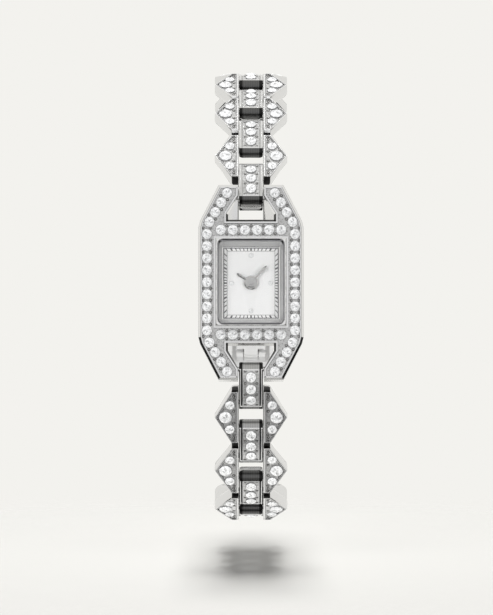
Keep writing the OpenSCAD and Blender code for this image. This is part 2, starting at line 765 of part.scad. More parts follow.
module clasp_long_blade() color(BRIGHT) in_clasp() difference() {
    union() {
        translate([0, (cover_hinge.x + blade_hinge.x) / 2, 0])
            block(blade_w, blade_hinge.x - cover_hinge.x,
                blade_high - blade_t, blade_high);
        translate([0, blade_hinge.x, 0]) across(2 * knuckle_r, blade_w);
        translate([0, cover_hinge.x, cover_hinge.y])
            across(blade_t, blade_w);
    }
    translate([0, blade_hinge.x, 0]) {
        across(clasp_pin_d + 2 * seat_gap, blade_w + over);
        block(knuckle_w + 2 * side_gap, 2 * (knuckle_r + fold_gap),
            -over - knuckle_r, over + knuckle_r);
    }
    translate([0, cover_hinge.x, cover_hinge.y])
        across(cover_pin_d + 2 * turn_gap, blade_w + over);
    translate([0, stud_at, 0]) disc(stud_d / 2 + fold_gap, -over, over + blade_t);
}

// The cover: a plate with turned-down lips that hold its hinge pin, and an arm
// that comes down to the last lower pin between the wings
module clasp_cover() color(BRIGHT) in_clasp() difference() {
    union() {
        translate([0, (cover_from + cover_to) / 2, 0]) {
            block(cover_w, cover_to - cover_from, cover_low, cover_high);
            for (s = [-1, 1]) translate([s * (cover_w - lip_t) / 2, 0])
                block(lip_t, cover_to - cover_from, lip_low,
                    cover_low + joined);
        }
        wide(link_w) {
            translate([clasp_len, 0]) circle(link_end_r);
            polygon([[cover_to - joined, cover_low],
                [clasp_len - link_end_r, 0],
                [clasp_len + 0.6 * link_end_r, 0.8 * link_end_r],
                [clasp_len - link_end_r, cover_high],
                [cover_to - joined, cover_high]]);
        }
    }
    translate([0, clasp_len, 0]) across(pin_d + 2 * seat_gap, link_w + over);
    translate([0, cover_hinge.x, cover_hinge.y])
        across(cover_pin_d + 2 * seat_gap, cover_w + over);
}

module blade_hinge_pin() color("silver") in_clasp()
    translate([0, blade_hinge.x, 0]) across(clasp_pin_d, blade_w);
module cover_hinge_pin() color("silver") in_clasp()
    translate([0, cover_hinge.x, cover_hinge.y])
        across(cover_pin_d, cover_w);

module clasp_stud() color("silver") in_clasp() translate([0, stud_at, 0])
    disc(stud_d / 2, blade_low, blade_high - seat_gap);

module spring_bar() color("silver") in_clasp() translate([0, clasp_len, 0])
    union() {
        across(pin_d, link_w);
        across(tip_d, link_w + side_gap);
    }

case_frame();
case_stones();
bezel();
dial_ring();
crystal();
crystal_gasket();
dial();
dial_markers();
hour_hand();
minute_hand();
movement_holder();
movement();
motor_coil();
battery();
battery_strap();
case_back();
case_back_gasket();
case_back_screws();
crown();
setting_stem();
lug_pins();
for (side = SIDES, i = [1:PAIRS]) {
    in_chain(side, 2 * i - 2) centre_link();
    in_chain(side, 2 * i - 1) wing_pair(side == "top" || i < PAIRS);
}
clasp_inner_blade();
clasp_long_blade();
clasp_cover();
blade_hinge_pin();
cover_hinge_pin();
clasp_stud();
spring_bar();
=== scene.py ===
# %% [markdown]
# A jewelled bracelet watch. The model of its working parts is already made, at
# its real size: this script dresses it. It keeps the parts whose shape is right
# and gives them a finish, and it builds finer pieces for what catches the eye:
# the faceted stones, the links that carry them, the bezel, the hands and the
# printed dial. Each piece rides on the moving part that it belongs to.

# %% Load the working model
import json
import math
import random

import bmesh
import bpy
from mathutils import Matrix, Vector

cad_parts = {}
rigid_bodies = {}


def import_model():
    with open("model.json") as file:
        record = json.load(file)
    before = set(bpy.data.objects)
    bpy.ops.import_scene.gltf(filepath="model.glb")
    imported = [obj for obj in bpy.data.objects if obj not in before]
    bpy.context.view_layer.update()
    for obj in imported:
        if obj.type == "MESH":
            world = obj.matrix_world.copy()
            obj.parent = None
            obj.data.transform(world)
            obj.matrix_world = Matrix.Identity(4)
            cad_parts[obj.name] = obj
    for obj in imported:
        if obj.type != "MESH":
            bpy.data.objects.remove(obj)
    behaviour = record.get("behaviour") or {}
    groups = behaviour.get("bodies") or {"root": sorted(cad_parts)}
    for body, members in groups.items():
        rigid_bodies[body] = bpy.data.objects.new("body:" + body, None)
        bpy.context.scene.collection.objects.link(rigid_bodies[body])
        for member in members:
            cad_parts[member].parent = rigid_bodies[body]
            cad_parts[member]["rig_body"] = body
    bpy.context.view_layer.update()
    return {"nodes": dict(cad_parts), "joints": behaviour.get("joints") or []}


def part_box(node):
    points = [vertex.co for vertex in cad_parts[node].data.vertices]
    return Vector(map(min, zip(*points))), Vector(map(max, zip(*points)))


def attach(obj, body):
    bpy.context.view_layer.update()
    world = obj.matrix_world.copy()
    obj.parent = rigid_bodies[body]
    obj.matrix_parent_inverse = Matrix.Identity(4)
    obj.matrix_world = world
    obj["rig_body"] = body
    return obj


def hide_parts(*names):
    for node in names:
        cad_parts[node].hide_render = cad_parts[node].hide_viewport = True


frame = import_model()
MM = 0.001
SIDES = ("top", "bottom")
PAIRS = 7


def size_of(node):
    """The size of a part, in millimetres, along X, Y and Z."""
    low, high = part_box(node)
    return (high - low) / MM


def height_of(node):
    """How far a part reaches out from the wrist, in millimetres."""
    return -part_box(node)[0].y / MM


# %% [markdown]
# Finishes and repeated stones are both made with trees of nodes. Each input of a
# node holds a value, or a wire from another node. One line of code for every
# wire would bury what a finish does, so these helpers add a node together with
# its inputs, start a tree that many materials share, and do one sum or noise.

# %% Node helpers
def feed(tree, node, inputs):
    """Fills inputs of a node, given by name or number, with values or wires."""
    for name, value in inputs.items():
        if isinstance(value, bpy.types.NodeSocket):
            tree.links.new(value, node.inputs[name])
        else:
            node.inputs[name].default_value = value


def add_node(tree, kind, inputs=None, **settings):
    """A new node with its settings and its inputs."""
    node = tree.nodes.new(kind)
    for name, value in settings.items():
        setattr(node, name, value)
    feed(tree, node, inputs or {})
    return node


def new_tree(kind, name, inputs, outputs):
    """A shader or geometry tree with named sockets, and its two end nodes."""
    tree = bpy.data.node_groups.new(name, kind + "NodeTree")
    for label, sort, *value in inputs:
        socket = tree.interface.new_socket(label, in_out="INPUT",
                                           socket_type="NodeSocket" + sort)
        if value:
            socket.default_value = value[0]
    for label, sort in outputs:
        tree.interface.new_socket(label, in_out="OUTPUT", socket_type="NodeSocket" + sort)
    return tree, tree.nodes.new("NodeGroupInput"), tree.nodes.new("NodeGroupOutput")


def math_node(tree, operation, *values, clamp=False):
    """The result of a maths node whose inputs are numbers or wires."""
    return add_node(tree, "ShaderNodeMath", dict(enumerate(values)),
                    operation=operation, use_clamp=clamp).outputs[0]


def noise(tree, vector, scale, detail=2.0):
    """A noise texture on a vector, in features per metre."""
    return add_node(tree, "ShaderNodeTexNoise", {
        "Vector": vector, "Scale": scale, "Detail": detail}).outputs["Fac"]


def stretched(tree, vector, scale):
    """The same vector with each axis multiplied, which draws a pattern out."""
    return add_node(tree, "ShaderNodeVectorMath", {0: vector, 1: scale},
                    operation="MULTIPLY").outputs[0]


print("shared trees before the first finish:", len(bpy.data.node_groups))

# %% [markdown]
# Polished metal is never evenly glossy. Fingers leave smears that soften its
# reflections in patches, and wiping leaves hairline scratches. A painted map
# would fit one shape only. Noise in the piece's own space fits them all: a broad
# one for the smears, and a fine one drawn out along Z for the scratches. Many
# metals need it, so it is a node group that is built once.

# %% Smears and scratches
SMEAR_SCALE = 260
HAIR_SCALE = 9000
HAIR_DRAWN = (1, 1, 0.06)


def make_handling():
    """Smears that vary the gloss, and hairline scratches for the bump."""
    group, source, result = new_tree(
        "Shader", "Handling marks",
        [("Vector", "Vector", (0, 0, 0)), ("Gloss", "Float", 0.1), ("Smear", "Float", 0.08)],
        [("Roughness", "Float"), ("Height", "Float")])
    given = source.outputs
    smears = noise(group, given["Vector"], SMEAR_SCALE, 3)
    hairs = noise(group, stretched(group, given["Vector"], HAIR_DRAWN), HAIR_SCALE, 1)
    feed(group, result, {
        "Roughness": math_node(group, "MULTIPLY_ADD", smears, given["Smear"], given["Gloss"]),
        "Height": hairs})
    return group


HANDLING = make_handling()
print("effect:", HANDLING.name)

# %% [markdown]
# Brushed metal was rubbed one way with a fine abrasive, which leaves short
# strokes of differing depth. Modelling them is out of the question at this size.
# Two noises of different scale are added, and each material draws them out along
# its own direction. They vary the colour, the gloss and the bump together.

# %% Brush strokes
FINE_STROKES, FINE_SHARE = 14000, 0.6
BROAD_STROKES, BROAD_SHARE = 3000, 0.4
LEAST_SHADE = 0.8


def make_brushing():
    """Short strokes, for the shade, the gloss and the bump."""
    group, source, result = new_tree(
        "Shader", "Brush strokes",
        [("Vector", "Vector", (0, 0, 0)), ("Gloss", "Float", 0.3), ("Depth", "Float", 0.2)],
        [("Shade", "Float"), ("Roughness", "Float"), ("Height", "Float")])
    given = source.outputs
    fine = noise(group, given["Vector"], FINE_STROKES)
    broad = math_node(group, "MULTIPLY", noise(group, given["Vector"], BROAD_STROKES),
                      BROAD_SHARE)
    strokes = math_node(group, "MULTIPLY_ADD", fine, FINE_SHARE, broad)
    feed(group, result, {
        "Shade": math_node(group, "MULTIPLY_ADD", strokes, given["Depth"], LEAST_SHADE),
        "Roughness": math_node(group, "MULTIPLY_ADD", strokes, given["Depth"], given["Gloss"]),
        "Height": strokes})
    return group


BRUSHING = make_brushing()
print("effect:", BRUSHING.name)

# %% [markdown]
# Every material starts the same way, from a Principled shader and the object's
# own coordinates, so that is one helper. Numbers that are the same all over a
# piece go straight onto the shader. Only what varies over the surface, such as
# colour, gloss and bump, is wired.

# %% Material helpers
def start_material(name, **values):
    """A material with its shader, and the object coordinates to feed patterns."""
    material = bpy.data.materials.new(name)
    material.use_nodes = True
    tree = material.node_tree
    shader = tree.nodes["Principled BSDF"]
    feed(tree, shader, {label.replace("_", " "): value for label, value in values.items()})
    place = tree.nodes.new("ShaderNodeTexCoord").outputs["Object"]
    return material, tree, shader, place


def tint(tree, shader, mask, dark, light):
    """Colours a shader between two colours, by a mask that varies."""
    mix = add_node(tree, "ShaderNodeMix", {0: mask, 6: (*dark, 1), 7: (*light, 1)},
                   data_type="RGBA")
    feed(tree, shader, {"Base Color": mix.outputs[2]})


def relief(tree, shader, roughness, height, depth):
    """Wires a varying roughness and a bump, with its depth in metres."""
    bump = add_node(tree, "ShaderNodeBump", {"Distance": depth, "Height": height})
    feed(tree, shader, {"Roughness": roughness, "Normal": bump.outputs["Normal"]})


def grey(level):
    """A grey as a colour."""
    return (level, level, level)


print("materials before the first metal:", len(bpy.data.materials))

# %% [markdown]
# The rims and sides of the watch are polished, its clasp and back are brushed,
# and the ends of the links carry fine upright lines. A shader that is all metal
# shows only what it mirrors, so it turns black wherever it faces the dark. Real
# satin scatters light as well. Where the watch keeps a grey of its own, on the
# rails, the dial's ring and the clasp, the metal is therefore partly matt.

# %% Polished, brushed and fluted metals
FLUTE_LINES = 0.00025
HAIR_DEPTH, STROKE_DEPTH, LINE_DEPTH = 0.0000012, 0.000004, 0.000003
CLOUD_SCALE, CLOUD_SHARE = 120, 0.94
STROKE_SHARE = 0.3
# How much more blue than green a warm metal loses
WARM_BLUE = 2.4


def polished(name, level, gloss=0.07, smear=0.1):
    """Polished metal, with smears in its gloss and the faintest scratches."""
    material, tree, shader, place = start_material(name, Metallic=1.0)
    marks = add_node(tree, "ShaderNodeGroup", {"Vector": place, "Gloss": gloss, "Smear": smear},
                     node_tree=HANDLING).outputs
    cloud = noise(tree, place, CLOUD_SCALE)
    tint(tree, shader, cloud, grey(CLOUD_SHARE * level), grey(level))
    relief(tree, shader, marks["Roughness"], marks["Height"], HAIR_DEPTH)
    return material


def strokes_in(tree, vector, gloss, depth):
    """The outputs of the brush strokes, placed in a material."""
    return add_node(tree, "ShaderNodeGroup", {"Vector": vector, "Gloss": gloss, "Depth": depth},
                    node_tree=BRUSHING).outputs


def brushed(name, level, along, gloss=0.22, depth=0.2, warm=0.0, metal=1.0):
    """Metal with strokes along one axis, given as how far each axis is drawn out."""
    material, tree, shader, place = start_material(name, Metallic=metal)
    strokes = strokes_in(tree, stretched(tree, place, along), gloss, depth)
    colour = (level, level * (1 - warm), level * (1 - WARM_BLUE * warm))
    tint(tree, shader, strokes["Shade"], [STROKE_SHARE * c for c in colour], colour)
    relief(tree, shader, strokes["Roughness"], strokes["Height"], STROKE_DEPTH)
    return material


def fluted(name, dark, light):
    """Satin metal with fine upright lines across X."""
    material, tree, shader, place = start_material(name, Metallic=1.0)
    strokes = strokes_in(tree, place, 0.26, 0.2)
    across = add_node(tree, "ShaderNodeSeparateXYZ", {0: place}).outputs["X"]
    wave = math_node(tree, "SINE", math_node(tree, "MULTIPLY", across, math.tau / FLUTE_LINES))
    lines = math_node(tree, "MULTIPLY_ADD", wave, 0.5, 0.5)
    worn = math_node(tree, "MULTIPLY", lines, strokes["Shade"])
    tint(tree, shader, worn, grey(dark), grey(light))
    relief(tree, shader, strokes["Roughness"], lines, LINE_DEPTH)
    return material


ALONG_X = (0.05, 1, 1)
ALONG_Z = (1, 1, 0.05)
CASE_POLISH = polished("Case_polish", 0.84, 0.09)
LINK_POLISH = polished("Link_polish", 0.80, 0.10)
PIN_STEEL = polished("Pin_steel", 0.70, 0.16)
HAND_POLISH = polished("Hand_polish", 0.46, 0.16)
HAND_SHADE = polished("Hand_shade", 0.12, 0.16)
CLASP_BRUSHED = brushed("Clasp_brushed", 0.92, ALONG_X, metal=0.55)
BACK_BRUSHED = brushed("Back_brushed", 0.74, ALONG_Z)
RING_SATIN = brushed("Ring_satin", 0.58, ALONG_X, 0.3, 0.12, metal=0.5)
# Painted shade: this near-black metal goes on grooves, walls and inner edges that lie in shade
PAINTED_SHADE_METAL = brushed("Painted_shade_metal", 0.03, ALONG_X, 0.35, 0.15)
# Painted shade: the dark lines along the edges of the case's bevel
PAINTED_BEVEL_LINE = brushed("Painted_shade_bevel_line", 0.22, ALONG_X, 0.35, 0.15)
RAIL_SATIN = brushed("Rail_satin", 0.80, ALONG_X, 0.2, 0.1, metal=0.5)
# Painted shade: the fluted ends of the links face downwards, so they are painted dark
END_PAINTED_SHADE = fluted("End_satin", 0.10, 0.15)
# Painted light: a paler copy of the fluted ends for the few links below the case that catch
# light
END_LIT = fluted("End_satin_lit", 0.34, 0.5)
# Painted light: a pale, mostly matt satin for the upper part of each wing's narrow end
END_PAINTED_LIGHT = brushed("End_satin_painted_light", 0.95, ALONG_X, 0.3, 0.1, metal=0.1)
BRASS = brushed("Movement_brass", 0.72, ALONG_X, 0.28, 0.2, 0.18)
print("metals:", len(bpy.data.materials))

# %% [markdown]
# Between the stones the metal was cut away and pushed up into tiny beads. The
# cut floor is rougher than the rim, and each bead stands in a small pit where
# the graver went in, whose shade is painted. One noise gives the floor its dark
# and light grains, and the pits are discs painted dark as shade, so they stay in
# place under their beads.

# %% Cut metal between the stones
CUT_GRAIN, CUT_GLOSS_SPREAD = 4200, 0.25


def cut_metal(name, dark, light, gloss=0.2, depth=0.00002, metal=1.0):
    """Metal with the marks of the graver."""
    material, tree, shader, place = start_material(name, Metallic=metal)
    grain = noise(tree, place, CUT_GRAIN, 3)
    tint(tree, shader, grain, grey(dark), grey(light))
    rough = math_node(tree, "MULTIPLY_ADD", grain, CUT_GLOSS_SPREAD, gloss)
    relief(tree, shader, rough, grain, depth)
    return material


FIELD = cut_metal("Cut_metal", 0.15, 0.95, metal=0.6)
# Painted light: a paler copy of the cut metal for a wing below the case that catches light
FIELD_PAINTED_LIGHT = cut_metal("Cut_metal_painted_light", 0.45, 0.95, metal=0.2)
CASE_FIELD = cut_metal("Case_cut_metal", 0.25, 0.8, 0.16, 0.000008)
# Painted shade: the pits under the beads and the strips between stones
PIT_PAINTED_SHADE = cut_metal("Graver_pit_painted_shade", 0.05, 0.25, 0.3)
print("with the cut metals:", len(bpy.data.materials))

# %% [markdown]
# A cut stone looks white with grey patches, because each facet shows another
# part of the room, and the table shows the back facets as a small star. Real
# refraction needs many light bounces to come out clean at this size. Here each
# facet carries a painted reflection, a shade of its own stored on the mesh when
# the stone is cut, under a hard and glossy surface that still catches the lamps.

# %% Stone material
FACET_SHADE = "facet_shade"
CLEAR = (0.97, 0.975, 0.98)
HAZE_SCALE, HAZE = 900, 0.12


def stone_material(name, dark):
    """A glossy stone coloured from dark to clear by the painted shade stored on each facet."""
    material, tree, shader, place = start_material(
        name, IOR=2.1, Roughness=0.04, Coat_Weight=0.0)
    shade = add_node(tree, "ShaderNodeAttribute", attribute_name=FACET_SHADE).outputs["Fac"]
    mask = math_node(tree, "MULTIPLY_ADD", noise(tree, place, HAZE_SCALE, 1), HAZE, shade)
    tint(tree, shader, mask, dark, CLEAR)
    return material


STONE = stone_material("Stone", (0.07, 0.072, 0.075))
# Painted light: the dial stones' darks are paler, for the white dial shining through them
DIAL_STONE = stone_material("Dial_stone_painted_light", (0.34, 0.342, 0.345))
print("stones are shaded by:", FACET_SHADE)

# %% [markdown]
# The dial is lacquered white, its track is printed, the seals are rubber, the
# movement's holder is moulded and its coil is wound of fine wire. All of them are
# one fine grain that differs in size, colour and gloss, so one helper makes them.
# The glass is flat and thin: bent light would hardly show, so it lets nearly
# everything through and only its surface reflects.

# %% Lacquer, print, plastics and glass
GRAIN_SHARE, GRAIN_GLOSS = 0.93, 0.08
GLASS_SMEAR, GLASS_SPREAD, GLASS_GLOSS = 200, 0.03, 0.02


def plain_surface(name, colour, roughness, grain=1500, depth=0.000004, **values):
    """A moulded or painted surface with a fine grain."""
    material, tree, shader, place = start_material(name, **values)
    fine = noise(tree, place, grain)
    tint(tree, shader, fine, [GRAIN_SHARE * c for c in colour], colour)
    rough = math_node(tree, "MULTIPLY_ADD", fine, GRAIN_GLOSS, roughness)
    relief(tree, shader, rough, fine, depth)
    return material


def clear_glass():
    """Flat glass: nearly all of it lets light through, and its surface reflects."""
    material, tree, shader, place = start_material(
        "Clear_glass", IOR=1.5, Alpha=0.07, Base_Color=(1, 1, 1, 1))
    smear = noise(tree, place, GLASS_SMEAR)
    rough = math_node(tree, "MULTIPLY_ADD", smear, GLASS_SPREAD, GLASS_GLOSS)
    feed(tree, shader, {"Roughness": rough})
    return material


DIAL_WHITE = plain_surface("Dial_white", (0.90, 0.90, 0.895), 0.4, 4000, 0.000001)
PRINT = plain_surface("Dial_print", (0.05, 0.05, 0.055), 0.5)
PRINT_PALE = plain_surface("Dial_print_pale", (0.42, 0.42, 0.42), 0.5)
SEAL = plain_surface("Seal", (0.22, 0.22, 0.23), 0.5)
HOLDER = plain_surface("Holder_plastic", (0.5, 0.5, 0.5), 0.45)
COPPER = plain_surface("Coil_copper", (0.6, 0.25, 0.1), 0.3, Metallic=1.0)
GLASS = clear_glass()
print("materials:", len(bpy.data.materials))

# %% [markdown]
# The links, the bezel and the hands are all plates with stepped or rounded
# edges. Such a plate can be drawn as a stack of outlines, one above the other,
# each a little wider or narrower than the last. So the outlines come first: a
# helper moves each edge inwards by its own amount, and another rounds corners.

# %% Outlines with insets and round corners
def rectangle(width, length):
    """The corners of a rectangle, anticlockwise."""
    x, y = width / 2, length / 2
    return [(-x, -y), (x, -y), (x, y), (-x, y)]


def inset_outline(corners, insets):
    """A convex outline, given anticlockwise, with each edge moved inwards."""
    count = len(corners)
    lines = []
    for k in range(count):
        a, b = Vector(corners[k]), Vector(corners[(k + 1) % count])
        along = (b - a).normalized()
        inwards = Vector((-along.y, along.x))
        lines.append((a + inwards * insets[k % len(insets)], along))
    moved = []
    for k in range(count):
        (p, d), (q, e) = lines[k - 1], lines[k]
        cross = d.x * e.y - d.y * e.x
        reach = ((q.x - p.x) * e.y - (q.y - p.y) * e.x) / cross
        moved.append(p + d * reach)
    return moved


def round_outline(corners, radius, steps=4):
    """The same outline with an arc of the given radius in place of each corner."""
    points = []
    count = len(corners)
    for k in range(count):
        here = Vector(corners[k])
        before = (Vector(corners[k - 1]) - here).normalized()
        after = (Vector(corners[(k + 1) % count]) - here).normalized()
        half = before.angle(after) / 2
        reach = radius / math.tan(half)
        centre = here + (before + after).normalized() * (radius / math.sin(half))
        start = here + before * reach - centre
        end = here + after * reach - centre
        turn = start.angle_signed(end)
        for s in range(steps + 1):
            angle = -turn * s / steps
            c, n = math.cos(angle), math.sin(angle)
            points.append(centre + Vector((start.x * c - start.y * n,
                                           start.x * n + start.y * c)))
    return points


print("points round a square with round corners:", len(round_outline(rectangle(2, 2), 0.1)))

# %% [markdown]
# Faces between neighbouring outlines make the walls of a plate. Every outline of
# a stack has the same number of points, so the faces are regular, and the edges
# are as crisp or as soft as the steps make them. A finished mesh has its faces
# turned outwards and is smooth, except at edges sharper than a given angle.

# %% Stacks of outlines and new pieces
def add_stack(mesh, outlines, capped=(True, True), finish=None):
    """Joins outlines of 3-D points, lowest first, and closes the ends."""
    loops = [[mesh.verts.new(p) for p in outline] for outline in outlines]
    count = len(loops[0])
    for level, (low, high) in enumerate(zip(loops, loops[1:])):
        for k in range(count):
            face = mesh.faces.new((low[k], low[(k + 1) % count],
                                   high[(k + 1) % count], high[k]))
            face.material_index = finish(level, k) if finish else 0
    if capped[0]:
        mesh.faces.new(list(reversed(loops[0])))
    if capped[1]:
        cap = mesh.faces.new(loops[-1])
        cap.material_index = finish(len(loops) - 1, 0) if finish else 0
    return loops


def smooth_up_to(mesh, degrees):
    """Smooths a work mesh, except at edges sharper than an angle."""
    mesh.normal_update()
    for face in mesh.faces:
        face.smooth = True
    for edge in mesh.edges:
        if len(edge.link_faces) == 2 and edge.calc_face_angle() > math.radians(degrees):
            edge.smooth = False


def new_piece(name, mesh, materials=(), degrees=0, merge=0.0, closed=True):
    """An object made of a work mesh, smooth up to an angle, or flat at zero."""
    if merge:
        bmesh.ops.remove_doubles(mesh, verts=mesh.verts, dist=merge)
    if closed:
        bmesh.ops.recalc_face_normals(mesh, faces=mesh.faces)
    if degrees:
        smooth_up_to(mesh, degrees)
    piece = bpy.data.objects.new(name, bpy.data.meshes.new(name))
    bpy.context.scene.collection.objects.link(piece)
    for material in materials:
        piece.data.materials.append(material)
    mesh.to_mesh(piece.data)
    mesh.free()
    return piece


def new_pattern(name, mesh, materials=(), degrees=0):
    """A piece that is only copied: it is hidden, and no part of the watch."""
    piece = new_piece(name, mesh, materials, degrees)
    piece.hide_render = True
    return piece


def fit(piece, body, slot, stands_for=None):
    """Fixes a piece to the body that it moves with, and hides the part it stands for. The slot
    is not used.
    """
    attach(piece, body)
    if stands_for:
        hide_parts(stands_for)
    return piece


print("parts in the working model:", len(frame["nodes"]))

# %% [markdown]
# A round brilliant has a flat table, a crown of kites and triangles, a thin
# girdle painted dark as the shade round the stone, and a pointed pavilion
# underneath. It is cut here for a diameter of one and scaled for each seat. The
# table shows the back facets through itself, so it is divided into a star of
# faces painted lighter and darker, as painted reflections.

# %% Cut the stones
TABLE = 0.285
STAR = 0.42
CROWN_TOP = 0.19
GIRDLE = 0.03
CULET = -0.43
# The width of the girdle's ring that is painted dark, as the shade round the stone
RIM_DARK = 0.03
LOWER = 0.16
# The painted shade of each kind of facet, and how far a single facet strays from it
FACETS = {"dark table": (0.42, 0.3), "light table": (0.77, 0.3), "table edge": (0.7, 0.4),
          "star": (0.78, 0.35), "kite": (0.95, 0.15), "upper girdle": (0.72, 0.4),
          "girdle": (0.06, 0.05), "pavilion": (0.5, 0.2)}


def cut_stone(name, seed):
    """A stone of diameter one with its girdle at zero, and a shade per facet."""
    shades = random.Random(seed)
    crown_slope = (CROWN_TOP - GIRDLE) / (0.5 - TABLE)
    star_z = CROWN_TOP - crown_slope * (STAR * math.cos(math.pi / 8) - TABLE)
    lower_z = CULET - CULET / 0.5 * LOWER * math.cos(math.pi / 8)
    mesh = bmesh.new()
    tone = mesh.faces.layers.float.new(FACET_SHADE)

    def ring(radius, z, count, shift=0.0):
        step = math.tau / count
        return [mesh.verts.new((radius * math.cos(step * (k + shift)),
                                radius * math.sin(step * (k + shift)), z))
                for k in range(count)]

    def facet(points, kind):
        shade, spread = FACETS[kind]
        face = mesh.faces.new(points)
        face[tone] = min(1.0, max(0.0, shade + shades.uniform(-spread, spread)))

    table = ring(TABLE, CROWN_TOP, 8)
    inner = ring(TABLE * 0.5, CROWN_TOP, 8, 0.5)
    middle = mesh.verts.new((0, 0, CROWN_TOP))
    star = ring(STAR, star_z, 8, 0.5)
    upper = ring(0.5 - RIM_DARK, GIRDLE + 0.01, 16)
    edge = ring(0.5, GIRDLE, 16)
    lower = ring(0.5, 0.0, 16)
    back = ring(LOWER, lower_z, 8, 0.5)
    point = mesh.verts.new((0, 0, CULET))
    for k in range(8):
        n = (k + 1) % 8
        first, second, third = 2 * k, 2 * k + 1, (2 * k + 2) % 16
        facet((middle, inner[k - 1], table[k], inner[k]),
              "light table" if k % 2 else "dark table")
        facet((table[k], table[n], inner[k]), "table edge")
        facet((table[k], star[k], table[n]), "star")
        facet((table[k], star[k - 1], upper[first], star[k]), "kite")
        for r, s in ((first, second), (second, third)):
            facet((star[k], upper[r], upper[s]), "upper girdle")
        for r, s in ((first, second), (second, third)):
            facet((upper[r], edge[r], edge[s], upper[s]), "girdle")
            facet((edge[r], lower[r], lower[s], edge[s]), "girdle")
        for r, s in ((first, second), (second, third)):
            facet((lower[r], back[k], lower[s]), "pavilion")
        facet((lower[first], back[k - 1], point, back[k]), "pavilion")
    return new_pattern(name, mesh, [STONE])


CUTS = [cut_stone(f"cut_{k}", 20 + k) for k in range(2)]
print("faces in a stone:", len(CUTS[0].data.polygons))

# %% [markdown]
# Stones and beads repeat hundreds of times, each in its own seat. Geometry Nodes
# do that: a carrier mesh holds one point for each seat, with the seat's width
# and direction as attributes, and the tree puts a copy of a pattern piece on
# every point, turned by a random amount that a fixed seed keeps the same.

# %% The seating tree
def end_tree(tree, result, copies, material):
    """Ends a tree: its copies become one plain mesh, with a material."""
    real = add_node(tree, "GeometryNodeRealizeInstances",
                    {"Geometry": copies.outputs["Instances"]})
    coat = add_node(tree, "GeometryNodeSetMaterial",
                    {"Geometry": real.outputs["Geometry"], "Material": material})
    feed(tree, result, {0: coat.outputs["Geometry"]})
    return tree


def seating_tree():
    """Copies a pattern onto every point of the carrier."""
    tree, source, result = new_tree(
        "Geometry", "Seat copies",
        [("Carrier", "Geometry"), ("Pattern", "Object"), ("Second pattern", "Object"),
         ("Spin", "Float", 0.0), ("Seed", "Int", 0), ("Material", "Material")],
        [("Copies", "Geometry")])
    given = source.outputs
    points = add_node(tree, "GeometryNodeMeshToPoints", {"Mesh": given["Carrier"]})
    patterns = tree.nodes.new("GeometryNodeJoinGeometry")
    for label in ("Second pattern", "Pattern"):
        info = add_node(tree, "GeometryNodeObjectInfo",
                        {"Object": given[label], "As Instance": True})
        feed(tree, patterns, {"Geometry": info.outputs["Geometry"]})
    # Inputs 4 and 5 are the least and greatest whole number, and 3 the greatest number
    pick = add_node(tree, "FunctionNodeRandomValue", {4: 0, 5: 1, "Seed": given["Seed"]},
                    data_type="INT")
    spin = add_node(tree, "FunctionNodeRandomValue", {3: given["Spin"], "Seed": given["Seed"]})
    turn = add_node(tree, "GeometryNodeInputNamedAttribute", {"Name": "turn"},
                    data_type="FLOAT_VECTOR")
    width = add_node(tree, "GeometryNodeInputNamedAttribute", {"Name": "width"})
    about = add_node(tree, "ShaderNodeCombineXYZ", {"Z": spin.outputs[1]})
    local = add_node(tree, "FunctionNodeRotateRotation", {
        "Rotation": turn.outputs["Attribute"], "Rotate By": about.outputs[0]},
        rotation_space="LOCAL")
    copies = add_node(tree, "GeometryNodeInstanceOnPoints", {
        "Points": points.outputs["Points"], "Instance": patterns.outputs["Geometry"],
        "Pick Instance": True, "Instance Index": pick.outputs[2],
        "Rotation": local.outputs["Rotation"], "Scale": width.outputs["Attribute"]})
    return end_tree(tree, result, copies, given["Material"])


SEATING = seating_tree()
print("nodes in the seating tree:", len(SEATING.nodes))

# %% [markdown]
# A tree works on an object through a modifier. The copies are wanted as a plain
# mesh that can be turned and placed like any other, so the result is read once
# and its carrier is thrown away. A modifier's inputs go by their identifiers, not
# by their names, so each one is looked up in the tree first.

# %% Run a tree and keep a plain mesh
FLAT = (0.0, 0.0, 0.0)


def run_tree(carrier, tree, values):
    """Evaluates a tree on a carrier and returns the plain mesh it makes."""
    modifier = carrier.modifiers.new("Make", "NODES")
    modifier.node_group = tree
    for item in tree.interface.items_tree:
        if item.item_type == "SOCKET" and item.in_out == "INPUT" and item.name in values:
            modifier[item.identifier] = values[item.name]
    carrier.update_tag()
    depsgraph = bpy.context.evaluated_depsgraph_get()
    depsgraph.update()
    made = bpy.data.meshes.new_from_object(carrier.evaluated_get(depsgraph))
    bpy.data.objects.remove(carrier)
    return made


def seat_copies(seats, patterns, material, seed):
    """A mesh of copies. A seat is its place, its width and its turn."""
    mesh = bpy.data.meshes.new("carrier")
    mesh.from_pydata([seat[0] for seat in seats], [], [])
    width = mesh.attributes.new("width", "FLOAT", "POINT")
    turn = mesh.attributes.new("turn", "FLOAT_VECTOR", "POINT")
    for k, (place, size, angles) in enumerate(seats):
        width.data[k].value = size
        turn.data[k].vector = angles
    carrier = bpy.data.objects.new("carrier", mesh)
    bpy.context.scene.collection.objects.link(carrier)
    return run_tree(carrier, SEATING, {
        "Pattern": patterns[0], "Second pattern": patterns[-1],
        "Spin": math.tau, "Seed": seed, "Material": material})


print("sockets of the seating tree:", [item.name for item in SEATING.interface.items_tree])

# %% [markdown]
# A setter holds each stone with beads: the graver lifts a curl of metal over the
# stone's edge and leaves a pit beside it. A bead is a tiny dome, and a shallow
# disc under it, painted dark as the pit's shade, stands for the pit, because a
# real hollow that small would need far more faces than anybody could see.

# %% Beads and pits
PIT_SHARE = 1.6


